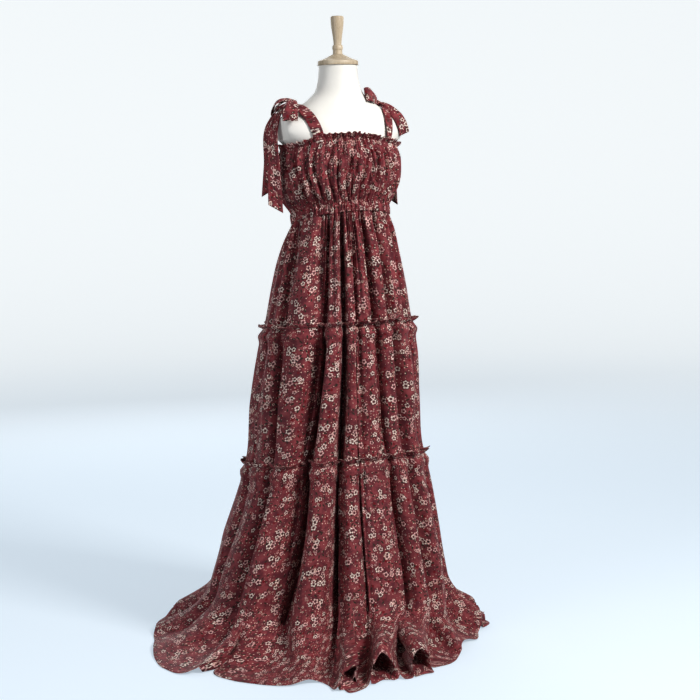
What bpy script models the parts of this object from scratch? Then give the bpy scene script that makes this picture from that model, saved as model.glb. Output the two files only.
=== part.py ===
"""Long tiered camisole dress with shoulder ties, standing on a limbless dress form.

Metres, +Z up. The wearer faces -Y, so the wearer's right side is at -X. Angles around the
body start at the front (-Y) and grow toward +X. Every cloth piece is an open sheet that
Solidify gives its wall, outward from the body.
"""
import math

import bpy
import numpy as np

# Driving dimensions, in metres
CLOTH_WALL = 0.0012        # thickness of every cloth wall
SEAM_GAP = 0.0003          # distance between two pieces at a seam
LAP = 0.0023               # how far a lower tier lies outside the one above it
WAIST = 1.064              # middle of the elastic under the bust
SEAM_1 = 0.790             # stitching between the first and second tier
SEAM_2 = 0.445             # stitching between the second and third tier
HEADING = 0.013            # gathered edge that stands above each tier seam
TAIL_LAP = 0.008           # upper tier below the stitching, under the lower one
SIDE_SEAM = 90.0           # degrees from the front to each side seam
TIE_WIDTH = 0.028          # width of the shoulder ties

# Counts
FOLDS = 15                 # large folds around the skirt
STEPS = 8                  # columns in one large fold
COLUMNS = FOLDS * STEPS
GATHER_STEPS = 4           # columns in one small gather

# Skirt sections: level, left, right, front, back radius, tilt (front up), small gathers
SKIRT = (
    (1.063, 0.126, 0.126, 0.112, 0.112, 0.024, 0.0024),
    (1.015, 0.150, 0.143, 0.128, 0.150, 0.021, 0.0026),
    (0.905, 0.172, 0.160, 0.144, 0.188, 0.015, 0.0012),
    (0.774, 0.195, 0.178, 0.158, 0.215, 0.014, 0.0016),
    (0.730, 0.204, 0.182, 0.163, 0.223, 0.015, 0.0018),
    (0.600, 0.226, 0.187, 0.168, 0.249, 0.018, 0.0006),
    (0.490, 0.236, 0.193, 0.174, 0.260, 0.022, 0.0008),
    (0.430, 0.249, 0.203, 0.184, 0.274, 0.022, 0.0020),
    (0.370, 0.262, 0.214, 0.194, 0.290, 0.014, 0.0018),
    (0.250, 0.302, 0.234, 0.212, 0.333, 0.006, 0.0004),
    (0.122, 0.341, 0.256, 0.232, 0.375, 0.000, 0.0000),
)

# Cloth on the floor: height of the row, share of the way out from the last section
POOL = (
    (0.080, 0.07),
    (0.046, 0.17),
    (0.020, 0.38),
    (0.007, 0.68),
    (0.0018, 1.00),
)

# Outline of the hem on the floor: angle, radius
HEM = (
    (-180, 0.490), (-156, 0.505), (-140, 0.500), (-125, 0.510), (-110, 0.508),
    (-97, 0.506), (-84, 0.526), (-75, 0.538), (-68, 0.510), (-55, 0.520),
    (-45, 0.512), (-37, 0.488), (-31, 0.540), (-26, 0.545), (-18, 0.455), (-10, 0.470),
    (0, 0.430), (8, 0.415), (22, 0.366), (30, 0.376), (53, 0.350), (66, 0.354),
    (81, 0.352), (95, 0.372), (108, 0.410), (122, 0.445), (150, 0.470),
)

# Large folds. Each row: the valley's angle at the waist, seam 1, seam 2, above the
# floor and at the hem, then the same for the ridge beside it, then how deep the fold
# is in each tier (mm) and how high the ridge stands at the hem (mm).
FOLD_TABLE = (
    (-97, -102, -103, -106, -108, -89, -92, -90, -96, -97, 9, 12, 16, 14),
    (-82, -83, -77, -84, -86, -64, -65, -65, -74, -74, 13, 18, 20, 12),
    (-46, -48, -53, -52, -55, -34, -38, -40, -42, -42, 14, 26, 34, 20),
    (-27, -28, -30, -31, -33, -18, -21, -22, -22, -27, 14, 19, 24, 30),
    (-9, -12, -15, -17, -21, 0, -8, -10, -11, -13, 15, 16, 14, 22),
    (8, 1, -4, -3, -6, 16, 8, 3, 3, 2, 15, 22, 36, 28),
    (26, 18, 10, 13, 10, 37, 26, 21, 29, 24, 13, 19, 28, 32),
    (50, 40, 31, 43, 38, 62, 56, 51, 57, 52, 12, 19, 32, 24),
    (76, 74, 70, 72, 70, 88, 87, 84, 84, 86, 12, 16, 24, 16),
    (101, 100, 101, 99, 103, 112, 112, 114, 113, 115, 14, 21, 30, 22),
    (125, 126, 124, 128, 127, 137, 138, 139, 141, 143, 13, 18, 22, 14),
    (150, 148, 153, 152, 158, 161, 160, 165, 166, 170, 11, 22, 32, 18),
    (172, 175, 177, 178, 182, 184, 187, 190, 192, 195, 14, 17, 24, 12),
    (197, 199, 202, 205, 207, 209, 211, 213, 217, 220, 13, 20, 28, 20),
    (223, 224, 227, 230, 232, 242, 243, 242, 244, 243, 12, 17, 22, 12),
)
FOLD_LEVELS = (1.063, 0.790, 0.445, 0.160, 0.0018)
DEPTH_LEVELS = (1.063, 1.000, 0.900, 0.800, 0.730, 0.600, 0.470, 0.400, 0.250, 0.122)

# Bodice sections: level, left, right, front, back radius, gather depth
BODICE = (
    (1.092, 0.132, 0.128, 0.113, 0.116, 0.0020),
    (1.115, 0.150, 0.140, 0.124, 0.128, 0.0040),
    (1.165, 0.159, 0.157, 0.136, 0.126, 0.0045),
    (1.208, 0.159, 0.158, 0.131, 0.119, 0.0036),
    (1.237, 0.156, 0.155, 0.116, 0.113, 0.0018),
    (1.249, 0.159, 0.158, 0.119, 0.116, 0.0030),
)
TOP_RISE = 0.028           # how much higher the top edge is across the front
TOP_RISE_ENDS = 57.0       # degrees from the front where it comes down
TOP_RISE_BLEND = 12.0      # degrees over which it comes down
TOP_EDGE_WAVE = (0.0020, 0.0012)  # how far the top edge waves out and up
WAIST_TILT = 0.024         # how much higher the waist is at the front than at the side
WAIST_GAP = 0.0013         # inner edges apart, so the flared outer edges just clear

# Form sections: height, half width, front depth, back depth, limit of the half width
FORM = (
    (0.700, 0.112, 0.086, 0.094, 1.0),
    (0.712, 0.122, 0.094, 0.104, 1.0),
    (0.800, 0.134, 0.100, 0.114, 1.0),
    (0.880, 0.130, 0.098, 0.112, 1.0),
    (0.960, 0.119, 0.093, 0.103, 1.0),
    (1.040, 0.110, 0.089, 0.094, 1.0),
    (1.085, 0.112, 0.092, 0.094, 1.0),
    (1.130, 0.128, 0.105, 0.098, 1.0),
    (1.175, 0.142, 0.120, 0.101, 1.0),
    (1.210, 0.146, 0.116, 0.102, 1.0),
    (1.236, 0.147, 0.107, 0.102, 1.0),
    (1.250, 0.151, 0.104, 0.101, 1.0),
    (1.262, 0.166, 0.101, 0.100, 0.162),
    (1.285, 0.180, 0.094, 0.096, 0.166),
    (1.310, 0.174, 0.082, 0.088, 0.166),
    (1.328, 0.142, 0.072, 0.080, 0.166),
    (1.342, 0.116, 0.065, 0.073, 1.0),
    (1.358, 0.088, 0.060, 0.066, 1.0),
    (1.378, 0.064, 0.055, 0.058, 1.0),
    (1.405, 0.053, 0.051, 0.052, 1.0),
    (1.447, 0.0485, 0.0485, 0.0485, 1.0),
)
FORM_COLUMNS = 32

# Turned wood, outer profile from the top down: radius, height
CAP_PROFILE = (
    (0.0000, 1.4745), (0.0130, 1.4745), (0.0230, 1.4700), (0.0400, 1.4620),
    (0.0490, 1.4585), (0.0510, 1.4560), (0.0510, 1.4510), (0.0495, 1.4475),
    (0.0000, 1.4475),
)
FINIAL_PROFILE = (
    (0.0000, 1.5700), (0.0140, 1.5690), (0.0166, 1.5660), (0.0160, 1.5500),
    (0.0135, 1.5300), (0.0105, 1.5080), (0.0100, 1.4990), (0.0126, 1.4960),
    (0.0134, 1.4910), (0.0128, 1.4860), (0.0122, 1.4748), (0.0000, 1.4748),
)
BASE_PROFILE = (
    (0.0000, 0.0220), (0.0300, 0.0220), (0.1500, 0.0160), (0.1640, 0.0130),
    (0.1680, 0.0090), (0.1680, 0.0020), (0.1660, 0.0000), (0.0000, 0.0000),
)
POLE_RADIUS = 0.0125


def material(name, colour, roughness):
    """A plain Principled material."""
    made = bpy.data.materials.new(name)
    made.use_nodes = True
    shader = made.node_tree.nodes["Principled BSDF"]
    shader.inputs["Base Color"].default_value = (*colour, 1.0)
    shader.inputs["Roughness"].default_value = roughness
    made.diffuse_color = (*colour, 1.0)
    return made


def add_mesh(name, points, faces, look, wall=0.0, smooth=True):
    """One named object from points and faces; a wall over zero is added outward."""
    mesh = bpy.data.meshes.new(name)
    mesh.from_pydata([tuple(p) for p in points], [], [tuple(f) for f in faces])
    mesh.update()
    mesh.materials.append(look)
    obj = bpy.data.objects.new(name, mesh)
    PARTS.objects.link(obj)
    if smooth:
        mesh.shade_smooth()
    if wall:
        solid = obj.modifiers.new("Wall", "SOLIDIFY")
        solid.thickness = wall
        solid.offset = 1.0
        solid.use_even_offset = False
        solid.use_rim = True
    return obj


def grid_faces(rows, columns, closed=False):
    """Quads between rows of points. Rows run down and columns to the wearer's left."""
    last = columns if closed else columns - 1
    faces = []
    for i in range(rows - 1):
        for j in range(last):
            k = (j + 1) % columns
            faces.append((i * columns + j, (i + 1) * columns + j,
                          (i + 1) * columns + k, i * columns + k))
    return faces


def radius_at(angle, left, right, front, back):
    """Radius of an oval of four quarter ellipses, at angles in degrees."""
    s = np.sin(np.radians(angle))
    c = np.cos(np.radians(angle))
    across = np.where(s > 0, right, left)
    deep = np.where(c > 0, front, back)
    return 1.0 / np.sqrt((s / across) ** 2 + (c / deep) ** 2)


def hem_radius(angle):
    """Radius of the hem at angles in degrees, from HEM."""
    table = np.array(HEM)
    return np.interp((angle + 180.0) % 360.0 - 180.0, table[:, 0], table[:, 1], period=360.0)


def polar(angle, radius, height):
    """Points from angle in degrees, radius and height."""
    a = np.radians(angle)
    return np.stack([radius * np.sin(a), -radius * np.cos(a), height + 0 * a], axis=-1)


# Columns of the skirt: each fold's eight columns run valley, ridge, next valley
ROWS_OF_FOLDS = np.array(FOLD_TABLE, float)


def column_angles(level):
    """Angle of every column at a level, from the fold table."""
    heights = FOLD_LEVELS[::-1]
    valley = np.array([np.interp(level, heights, row[0:5][::-1]) for row in ROWS_OF_FOLDS])
    ridge = np.array([np.interp(level, heights, row[5:10][::-1]) for row in ROWS_OF_FOLDS])
    following = np.append(valley[1:], valley[0] + 360.0)
    half = STEPS // 2
    share = np.arange(half) / half
    rise = valley[:, None] + (ridge - valley)[:, None] * share
    fall = ridge[:, None] + (following - ridge)[:, None] * share
    return np.concatenate([rise, fall], axis=1).reshape(-1)


def fold_depths(level):
    """Depth of each fold at a level, in metres: shallow at a gathered seam."""
    t1, t2, t3 = ROWS_OF_FOLDS[:, 10], ROWS_OF_FOLDS[:, 11], ROWS_OF_FOLDS[:, 12]
    at_levels = np.array([0.15 * t1, 0.55 * t1, t1, 0.9 * t1, 0.8 * t2, t2, 0.9 * t2,
                          0.6 * t3, 0.9 * t3, t3])
    heights = np.array(DEPTH_LEVELS)
    order = np.argsort(heights)
    return np.array([np.interp(level, heights[order], at_levels[order, k])
                     for k in range(FOLDS)]) / 1000.0


def wave():
    """0 at each valley and 1 at each ridge, for every column; ridges are the wider."""
    turn = np.arange(STEPS) / STEPS
    one = (0.5 - 0.5 * np.cos(2 * math.pi * turn)) ** 0.8
    return np.tile(one, FOLDS)


def gathers(count):
    """Small gathers in turn over the columns, of uneven depth."""
    k = np.arange(count)
    each = 1.0 + 0.30 * np.sin(0.9 * k) + 0.22 * np.sin(2.3 * k + 1.0)
    return np.sin(2 * math.pi * k / GATHER_STEPS) * each


def sections(level):
    """The skirt's four radii, tilt and gather depth at a level."""
    table = np.array(SKIRT)[::-1]
    return [np.interp(level, table[:, 0], table[:, i]) for i in range(1, 7)]


def skirt_ring(level):
    """One ring of the skirt at a level: angle, radius, height of every column."""
    angle = column_angles(level)
    left, right, front, back, tilt, small = sections(level)
    deep = np.repeat(fold_depths(level), STEPS)
    radius = radius_at(angle, left, right, front, back)
    radius = radius + deep * (wave() - 0.5) + small * gathers(COLUMNS)
    height = level + tilt * np.cos(np.radians(angle))
    return polar(angle, radius, height)


def pool_ring(height, share):
    """One ring of the cloth spread on the floor; its folds stand up from the floor."""
    level = SKIRT[-1][0]
    angle = column_angles(height)
    left, right, front, back, tilt, small = sections(level)
    start = radius_at(angle, left, right, front, back)
    deep = np.repeat(ROWS_OF_FOLDS[:, 12], STEPS) / 1000.0
    tall = np.repeat(ROWS_OF_FOLDS[:, 13], STEPS) / 1000.0
    out = hem_radius(angle)
    standing = 1.0 - share
    radius = start * standing + out * share + deep * (wave() - 0.5) * standing ** 1.5
    lift = tall * wave() ** 1.3 * math.sin(0.5 * math.pi * share) ** 1.5
    return polar(angle, radius, height + lift)


# The skirt's whole surface as rings; tiers are cut from it
LEVELS = [row[0] for row in SKIRT]
RINGS = np.array([skirt_ring(level) for level in LEVELS]
                 + [pool_ring(height, share) for height, share in POOL])
LEVELS = LEVELS + [height for height, share in POOL]


def normals_of(rings):
    """Outward unit normals of closed rings that run from the top down."""
    around = np.roll(rings, -1, axis=1) - np.roll(rings, 1, axis=1)
    down = np.gradient(rings, axis=0)
    n = np.cross(down, around)
    return n / np.linalg.norm(n, axis=2, keepdims=True)


NORMALS = normals_of(RINGS)


def skirt_rows(levels, out):
    """Rows of the skirt's surface at levels, each moved outward by its own distance."""
    falling = np.array(LEVELS)[::-1]
    rows = []
    for level, distance in zip(levels, out):
        place = np.interp(level, falling, np.arange(len(falling))[::-1])
        k = min(int(place), len(LEVELS) - 2)
        t = place - k
        point = RINGS[k] * (1 - t) + RINGS[k + 1] * t
        normal = NORMALS[k] * (1 - t) + NORMALS[k + 1] * t
        normal = normal / np.linalg.norm(normal, axis=1, keepdims=True)
        rows.append(point + normal * np.asarray(distance)[..., None])
    return np.array(rows)


def halves(name, rows, look):
    """Front and back piece from closed rings, cut at the side seams."""
    angle = column_angles(SEAM_1)
    start = int(np.argmin(np.abs(angle + SIDE_SEAM)))
    turn = int(np.argmin(np.abs(angle - SIDE_SEAM)))
    whole = np.roll(rows, -start, axis=1)
    cut = turn - start
    front = whole[:, :cut + 1].copy()
    back = np.concatenate([whole[:, cut:], whole[:, :1]], axis=1)
    for piece, side in ((front, "front"), (back, "back")):
        narrow_ends(piece)
        add_mesh(f"{name}_{side}", piece.reshape(-1, 3),
                 grid_faces(piece.shape[0], piece.shape[1]), look, CLOTH_WALL)


def narrow_ends(piece):
    """Moves both ends of a piece in along its own rows, for the gap at a side seam."""
    for end, inner in ((0, 1), (-1, -2)):
        along = piece[:, inner] - piece[:, end]
        length = np.linalg.norm(along, axis=1, keepdims=True)
        piece[:, end] += along / length * SEAM_GAP


def heading_waves(height_share):
    """How far a gathered heading stands out from the seam, for every column."""
    k = np.arange(COLUMNS)
    ripple = 0.5 + 0.5 * np.sin(2 * math.pi * k / GATHER_STEPS + 0.8 * np.sin(0.35 * k))
    return LAP + height_share * (0.0010 + 0.0062 * ripple * (0.7 + 0.3 * np.sin(0.7 * k)))


def build_skirt(look):
    """Three tiers, each of a front and a back piece."""
    flat = np.zeros(COLUMNS)
    lap = flat + LAP
    rows = skirt_rows((LEVELS[0], 1.015, 0.905, SEAM_1 - TAIL_LAP), [flat] * 4)
    halves("tier_1", rows, look)
    levels = (SEAM_1 + HEADING, SEAM_1, 0.730, 0.600, 0.490, SEAM_2 - TAIL_LAP)
    rows = skirt_rows(levels, [heading_waves(1.0)] + [lap] * 5)
    halves("tier_2", rows, look)
    levels = (SEAM_2 + HEADING, SEAM_2, 0.370, 0.250, 0.122)
    levels = levels + tuple(height for height, share in POOL)
    out = [LAP + heading_waves(1.0)] + [2 * lap] * 4
    out = out + [1.5 * lap, lap, 0.5 * lap, flat, flat]
    rows = skirt_rows(levels, out)
    halves("tier_3", rows, look)


def build_bodice(look):
    """Front and back of the bodice, gathered into the elastic at its top and waist."""
    table = np.array(BODICE)[::-1]
    angle = column_angles(LEVELS[0])
    column = np.arange(COLUMNS)
    ripple = gathers(COLUMNS)
    from_front = np.abs((angle + 180) % 360 - 180)
    front = 0.5 + 0.5 * np.tanh((TOP_RISE_ENDS - from_front) / TOP_RISE_BLEND)
    rows = []
    for i, (level, left, right, fore, back, deep) in enumerate(table):
        up = (level - WAIST) / (table[0, 0] - WAIST)
        tilt = WAIST_TILT * (1 - up) ** 0.7 * np.cos(np.radians(angle))
        height = level + tilt + TOP_RISE * up ** 2 * front
        radius = radius_at(angle, left, right, fore, back) + deep * ripple
        if i == 0:
            radius = radius + TOP_EDGE_WAVE[0] * np.sin(column * 1.9)
            height = height + TOP_EDGE_WAVE[1] * np.sin(column * 2.7)
        rows.append(polar(angle, radius, height))
    rows.append(RINGS[0] + np.array((0.0, 0.0, WAIST_GAP)))
    halves("bodice", np.array(rows), look)


def form_radii(height):
    """Half width, front depth, back depth and width limit of the form at a height."""
    table = np.array(FORM)
    return [np.interp(height, table[:, 0], table[:, i]) for i in range(1, 5)]


def build_form(shell, wood, metal):
    """Torso, neck cap, finial, pole and base of the stand."""
    turn = np.linspace(0, 360, FORM_COLUMNS, endpoint=False)
    rows = []
    for height, across, front, back, limit in FORM[::-1]:
        ring = polar(turn, radius_at(turn, across, across, front, back), height)
        ring[:, 0] = np.clip(ring[:, 0], -limit, limit)
        rows.append(ring)
    points = np.array(rows).reshape(-1, 3)
    faces = grid_faces(len(FORM), FORM_COLUMNS, closed=True)
    faces.append(tuple(range(FORM_COLUMNS)))
    last = (len(FORM) - 1) * FORM_COLUMNS
    faces.append(tuple(range(last + FORM_COLUMNS - 1, last - 1, -1)))
    add_mesh("form_torso", points, faces, shell)
    turned("neck_cap", CAP_PROFILE, wood, 28)
    turned("finial", FINIAL_PROFILE, wood, 16)
    turned("form_base", BASE_PROFILE, metal, 36)
    low = BASE_PROFILE[0][1] + SEAM_GAP
    high = FORM[0][0] - SEAM_GAP
    bpy.ops.mesh.primitive_cylinder_add(vertices=20, radius=POLE_RADIUS, depth=high - low,
                                        location=(0, 0, (high + low) / 2))
    pole = bpy.context.object
    pole.name = "form_pole"
    pole.data.materials.append(metal)
    for holder in list(pole.users_collection):
        holder.objects.unlink(pole)
    PARTS.objects.link(pole)
    pole.data.shade_smooth()
    pole.data.set_sharp_from_angle(angle=math.radians(40))


def turned(name, profile, look, steps):
    """A round piece from its outer profile, listed from the top down."""
    mesh = bpy.data.meshes.new(name)
    points = [(radius, 0.0, height) for radius, height in profile]
    mesh.from_pydata(points, [(i, i + 1) for i in range(len(points) - 1)], [])
    mesh.materials.append(look)
    obj = bpy.data.objects.new(name, mesh)
    PARTS.objects.link(obj)
    screw = obj.modifiers.new("Turn", "SCREW")
    screw.steps = steps
    screw.render_steps = steps
    screw.use_merge_vertices = True
    screw.merge_threshold = 0.00001
    screw.use_smooth_shade = True
    return obj


def unit(v):
    """The same direction with length one."""
    v = np.asarray(v, float)
    return v / np.linalg.norm(v, axis=-1, keepdims=True)


def on_form(points, clear):
    """Points nearer to the form than the clearance, moved straight out to it."""
    p = np.array(points, float)
    for _ in range(12):
        value, slope = form_field(p)
        distance = value / np.linalg.norm(slope, axis=-1)
        p = p + unit(slope) * np.maximum(clear - distance, 0.0)[..., None]
    return p


def form_field(p):
    """A function that is zero on the form and grows outward, and its slope."""
    def value(q):
        across, front, back, limit = form_radii(q[..., 2])
        deep = np.where(q[..., 1] < 0, front, back)
        return (np.sqrt((q[..., 0] / across) ** 2 + (q[..., 1] / deep) ** 2) - 1.0) * deep
    step = 0.0005
    slope = np.stack([(value(p + step * e) - value(p - step * e)) / (2 * step)
                      for e in np.eye(3)], axis=-1)
    return value(p), slope


def resample(path, count):
    """A path of points spread evenly along a smooth curve through the given ones."""
    path = np.asarray(path, float)
    length = np.append(0, np.cumsum(np.linalg.norm(np.diff(path, axis=0), axis=1)))
    ends = np.vstack([2 * path[0] - path[1], path, 2 * path[-1] - path[-2]])
    out = []
    for s in np.linspace(0, length[-1], count):
        k = min(int(np.searchsorted(length, s, side="right")) - 1, len(path) - 2)
        t = (s - length[k]) / (length[k + 1] - length[k])
        a, b, c, d = ends[k:k + 4]
        out.append(0.5 * (2 * b + (c - a) * t + (2 * a - 5 * b + 4 * c - d) * t ** 2
                          + (3 * b - a - 3 * c + d) * t ** 3))
    return np.array(out)


def ribbon(name, path, across, widths, look, count=9, slant=0.0, clear=None):
    """A flat tie along a path: across lists its width's direction from end to end."""
    line = resample(path, count)
    t = np.linspace(0, 1, count)
    across = np.array(across, float)
    turns = np.linspace(0, 1, len(across))
    side = unit(np.stack([np.interp(t, turns, across[:, k]) for k in range(3)], axis=1))
    wide = np.interp(t, np.linspace(0, 1, len(widths)), widths)
    along = unit(np.gradient(line, axis=0))
    rows = []
    for i in range(count):
        row = []
        for edge in (-0.5, 0.0, 0.5):
            point = line[i] + side[i] * wide[i] * edge
            if i == count - 1:
                point = point + along[i] * slant * edge
            row.append(point)
        rows.append(row)
    rows = np.array(rows)
    if clear is not None:
        rows = on_form(rows, clear)
    outward = np.cross(rows[1, 1] - rows[0, 1], rows[0, 2] - rows[0, 0])
    if np.dot(outward, rows[0, 1] * (1, 1, 0)) < 0:
        rows = rows[:, ::-1]
    return add_mesh(name, rows.reshape(-1, 3), grid_faces(count, 3), look, CLOTH_WALL)


def loop(name, root, tip, puff, width, look, height=0.012, arch=0.0, pinch=0.0032, count=16):
    """A loop of a bow: a band closed on itself, narrow at the knot and arched upward."""
    root, tip = np.asarray(root, float), np.asarray(tip, float)
    length = np.linalg.norm(tip - root)
    e1 = unit(tip - root)
    e2 = unit(np.asarray(puff, float) - np.dot(puff, e1) * e1)
    e3 = np.cross(e1, e2)
    turn = np.linspace(0, 2 * math.pi, count, endpoint=False)
    x = length * (0.5 - 0.5 * np.cos(turn))
    y = np.sin(turn) * (pinch + (height - pinch) * x / length)
    y = y + arch * 4 * x / length * (1 - x / length)
    wide = width * (0.30 + 0.70 * np.minimum(1.0, 1.8 * x / length))
    centre = root + np.outer(x, e1) + np.outer(y, e2)
    rows = np.array([centre - e3 * wide[:, None] / 2, centre, centre + e3 * wide[:, None] / 2])
    return add_mesh(name, rows.reshape(-1, 3), grid_faces(3, count, closed=True), look,
                    CLOTH_WALL)


# Shoulder ties
KNOTS = {"right": (-0.133, 0.006, 1.3475), "left": (0.119, 0.006, 1.3545)}
KNOT_SIZE = (0.0100, 0.0095, 0.0085)


def at_knot(side, direction, clear=SEAM_GAP):
    """The point just off a knot's surface in a direction from its middle."""
    way = unit(direction)
    reach = 1.0 / np.linalg.norm(way / np.array(KNOT_SIZE))
    return np.array(KNOTS[side]) + way * (reach + clear + 0.0001)


def build_ties(look):
    """On each shoulder: two ties that meet in a knot, two loops and two tails."""
    off = SEAM_GAP + CLOTH_WALL
    for side, s in (("right", -1.0), ("left", 1.0)):
        kx, ky, kz = KNOTS[side]
        ribbon(f"strap_front_{side}",
               ((s * 0.0925, -0.0880, 1.258), (s * 0.097, -0.084, 1.280),
                (s * 0.106, -0.066, 1.310), (kx, ky - 0.040, kz - 0.016),
                at_knot(side, (0, -1, -0.35))),
               ((s, 0.95, 0), (s, 0, -0.35)), (TIE_WIDTH, TIE_WIDTH, TIE_WIDTH * 0.55),
               look, count=10, clear=0.0008)
        ribbon(f"strap_back_{side}",
               (at_knot(side, (0, 1, -0.35)), (kx, ky + 0.040, kz - 0.016),
                (s * 0.106, 0.070, 1.310), (s * 0.096, 0.084, 1.275),
                (s * 0.0898, 0.0848, 1.234)),
               ((s, 0, -0.35), (s, -0.95, 0)), (TIE_WIDTH * 0.55, TIE_WIDTH, TIE_WIDTH),
               look, count=10, clear=0.0008)
        knot(f"knot_{side}", (kx, ky, kz), look)
    loop("loop_front_right", at_knot("right", (-0.7, -0.7, 0.7), off),
         (-0.183, -0.030, 1.304), (-0.8, -0.4, 0.7), 0.036, look, height=0.012, arch=0.010)
    loop("loop_back_right", at_knot("right", (-0.1, 0.8, 0.8), off),
         (-0.160, 0.072, 1.334), (-0.3, 0.2, 0.9), 0.034, look, height=0.012, arch=0.010)
    ribbon("tail_front_right",
           (at_knot("right", (-1, -0.25, -0.35)), (-0.164, 0.010, 1.326),
            (-0.182, 0.004, 1.290), (-0.186, 0.000, 1.200), (-0.184, -0.002, 1.092)),
           ((0.3, -0.95, 0), (0.9, -0.42, 0)), (0.012, 0.026, 0.032, 0.036),
           look, count=10, slant=0.022)
    ribbon("tail_back_right",
           (at_knot("right", (-0.8, 0.7, -0.1)), (-0.158, 0.034, 1.334),
            (-0.176, 0.038, 1.302), (-0.182, 0.036, 1.200), (-0.190, 0.034, 1.130)),
           ((0, -0.35, 1), (0.3, -0.95, 0.1), (0.6, -0.8, 0), (0.8, -0.6, 0)),
           (0.010, 0.026, 0.028, 0.026), look, count=10, slant=-0.018)
    loop("loop_inner_left", at_knot("left", (-0.8, -0.5, 0.9), off + 0.0008),
         (0.074, -0.044, 1.386), (-0.3, -0.7, 0.5), 0.034, look, height=0.012)
    loop("loop_outer_left", at_knot("left", (0.7, -0.65, 0.6), off),
         (0.190, -0.026, 1.290), (0.5, -0.3, 0.8), 0.030, look, height=0.011, arch=0.018)
    ribbon("tail_front_left",
           (at_knot("left", (1, 0.15, -0.35)), (0.152, 0.024, 1.338),
            (0.176, 0.040, 1.300), (0.180, 0.048, 1.200), (0.178, 0.036, 1.100)),
           ((0.1, -1, 0), (0.25, -0.97, 0)), (0.012, 0.026, 0.028, 0.030),
           look, count=10, slant=0.018)
    ribbon("tail_back_left",
           (at_knot("left", (0.5, 0.85, 0.1)), (0.140, 0.064, 1.340),
            (0.166, 0.092, 1.296), (0.170, 0.098, 1.210), (0.168, 0.098, 1.130)),
           ((0.8, -0.6, 0), (0.6, -0.8, 0)), (0.010, 0.026, 0.028, 0.030),
           look, count=10, slant=-0.018)


def knot(name, centre, look):
    """The small lump where two ties are knotted."""
    bpy.ops.mesh.primitive_uv_sphere_add(segments=12, ring_count=8, radius=1.0)
    obj = bpy.context.object
    obj.name = name
    mesh = obj.data
    co = np.empty(len(mesh.vertices) * 3)
    mesh.vertices.foreach_get("co", co)
    co = co.reshape(-1, 3) * np.array(KNOT_SIZE) + np.array(centre)
    mesh.vertices.foreach_set("co", co.reshape(-1))
    mesh.update()
    mesh.materials.append(look)
    mesh.shade_smooth()
    for holder in list(obj.users_collection):
        holder.objects.unlink(obj)
    PARTS.objects.link(obj)


for item in list(bpy.data.objects):
    bpy.data.objects.remove(item, do_unlink=True)
PARTS = bpy.data.collections.new("camisole_dress")
bpy.context.scene.collection.children.link(PARTS)

CLOTH = material("printed_cloth", (0.13, 0.02, 0.028), 0.75)
SHELL = material("form_shell", (0.85, 0.84, 0.82), 0.5)
WOOD = material("turned_wood", (0.62, 0.45, 0.27), 0.5)
METAL = material("stand_metal", (0.30, 0.30, 0.31), 0.4)

build_form(SHELL, WOOD, METAL)
build_bodice(CLOTH)
build_skirt(CLOTH)
build_ties(CLOTH)
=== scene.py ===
# %% [markdown]
# # A tiered camisole dress on a limbless dress form
#
# The dress is a long summer dress of printed viscose crepe. An elastic bodice is gathered
# at its top edge and under the bust, and three skirt tiers hang from it, each one wider
# than the last and gathered onto it with a little standing frill. The last tier is cut
# longer than its seam is high, so it breaks on the floor and spreads. This script puts the
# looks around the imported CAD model: it never moves that model, and only replaces its
# plain walls by thin cloth with the real folds, print and edges.

import math

import bpy
import numpy as np
from mathutils import Matrix, Vector


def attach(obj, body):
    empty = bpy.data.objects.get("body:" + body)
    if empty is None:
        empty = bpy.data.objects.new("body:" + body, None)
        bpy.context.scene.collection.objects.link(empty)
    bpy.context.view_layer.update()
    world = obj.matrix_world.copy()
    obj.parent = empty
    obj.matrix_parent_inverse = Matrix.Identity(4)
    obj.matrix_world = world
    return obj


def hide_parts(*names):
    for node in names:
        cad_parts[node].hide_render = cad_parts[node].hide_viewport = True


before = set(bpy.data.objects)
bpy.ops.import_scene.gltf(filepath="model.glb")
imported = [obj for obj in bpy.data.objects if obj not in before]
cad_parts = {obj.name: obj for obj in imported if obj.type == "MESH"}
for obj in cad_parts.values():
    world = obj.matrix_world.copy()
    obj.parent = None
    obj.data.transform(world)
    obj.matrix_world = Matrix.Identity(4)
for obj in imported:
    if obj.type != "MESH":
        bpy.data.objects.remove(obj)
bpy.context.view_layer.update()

# %% [markdown]
# ## Where things are on the body
#
# All of the cloth is described by an angle around the body and a level on it. The angle
# starts at the front, which is -Y, and grows toward the wearer's left, +X. A level is a
# height at the side of the body; the seams rise a little to the front, so the real height
# is the level plus a tilt that follows the cosine of the angle. In the tables left is -X
# and right is +X, as someone who faces the dress sees them.

# %% Levels and cloth sizes, in metres
WAIST = 1.064              # elastic under the bust
SEAM_1 = 0.790             # first tier to second
SEAM_2 = 0.445             # second tier to third
KNEE = 0.122               # lowest section that still hangs free
HEADING = 0.013            # frill that stands above each tier seam
CLOTH = 0.0009             # thickness of the cloth
WALL = 0.0012              # wall of the CAD solids, whose outer face the cloth follows
LAP = 0.0023               # how far a lower tier lies outside the one above
SEAM_TUCK = 0.008          # how far the upper tier runs on below its seam

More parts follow.
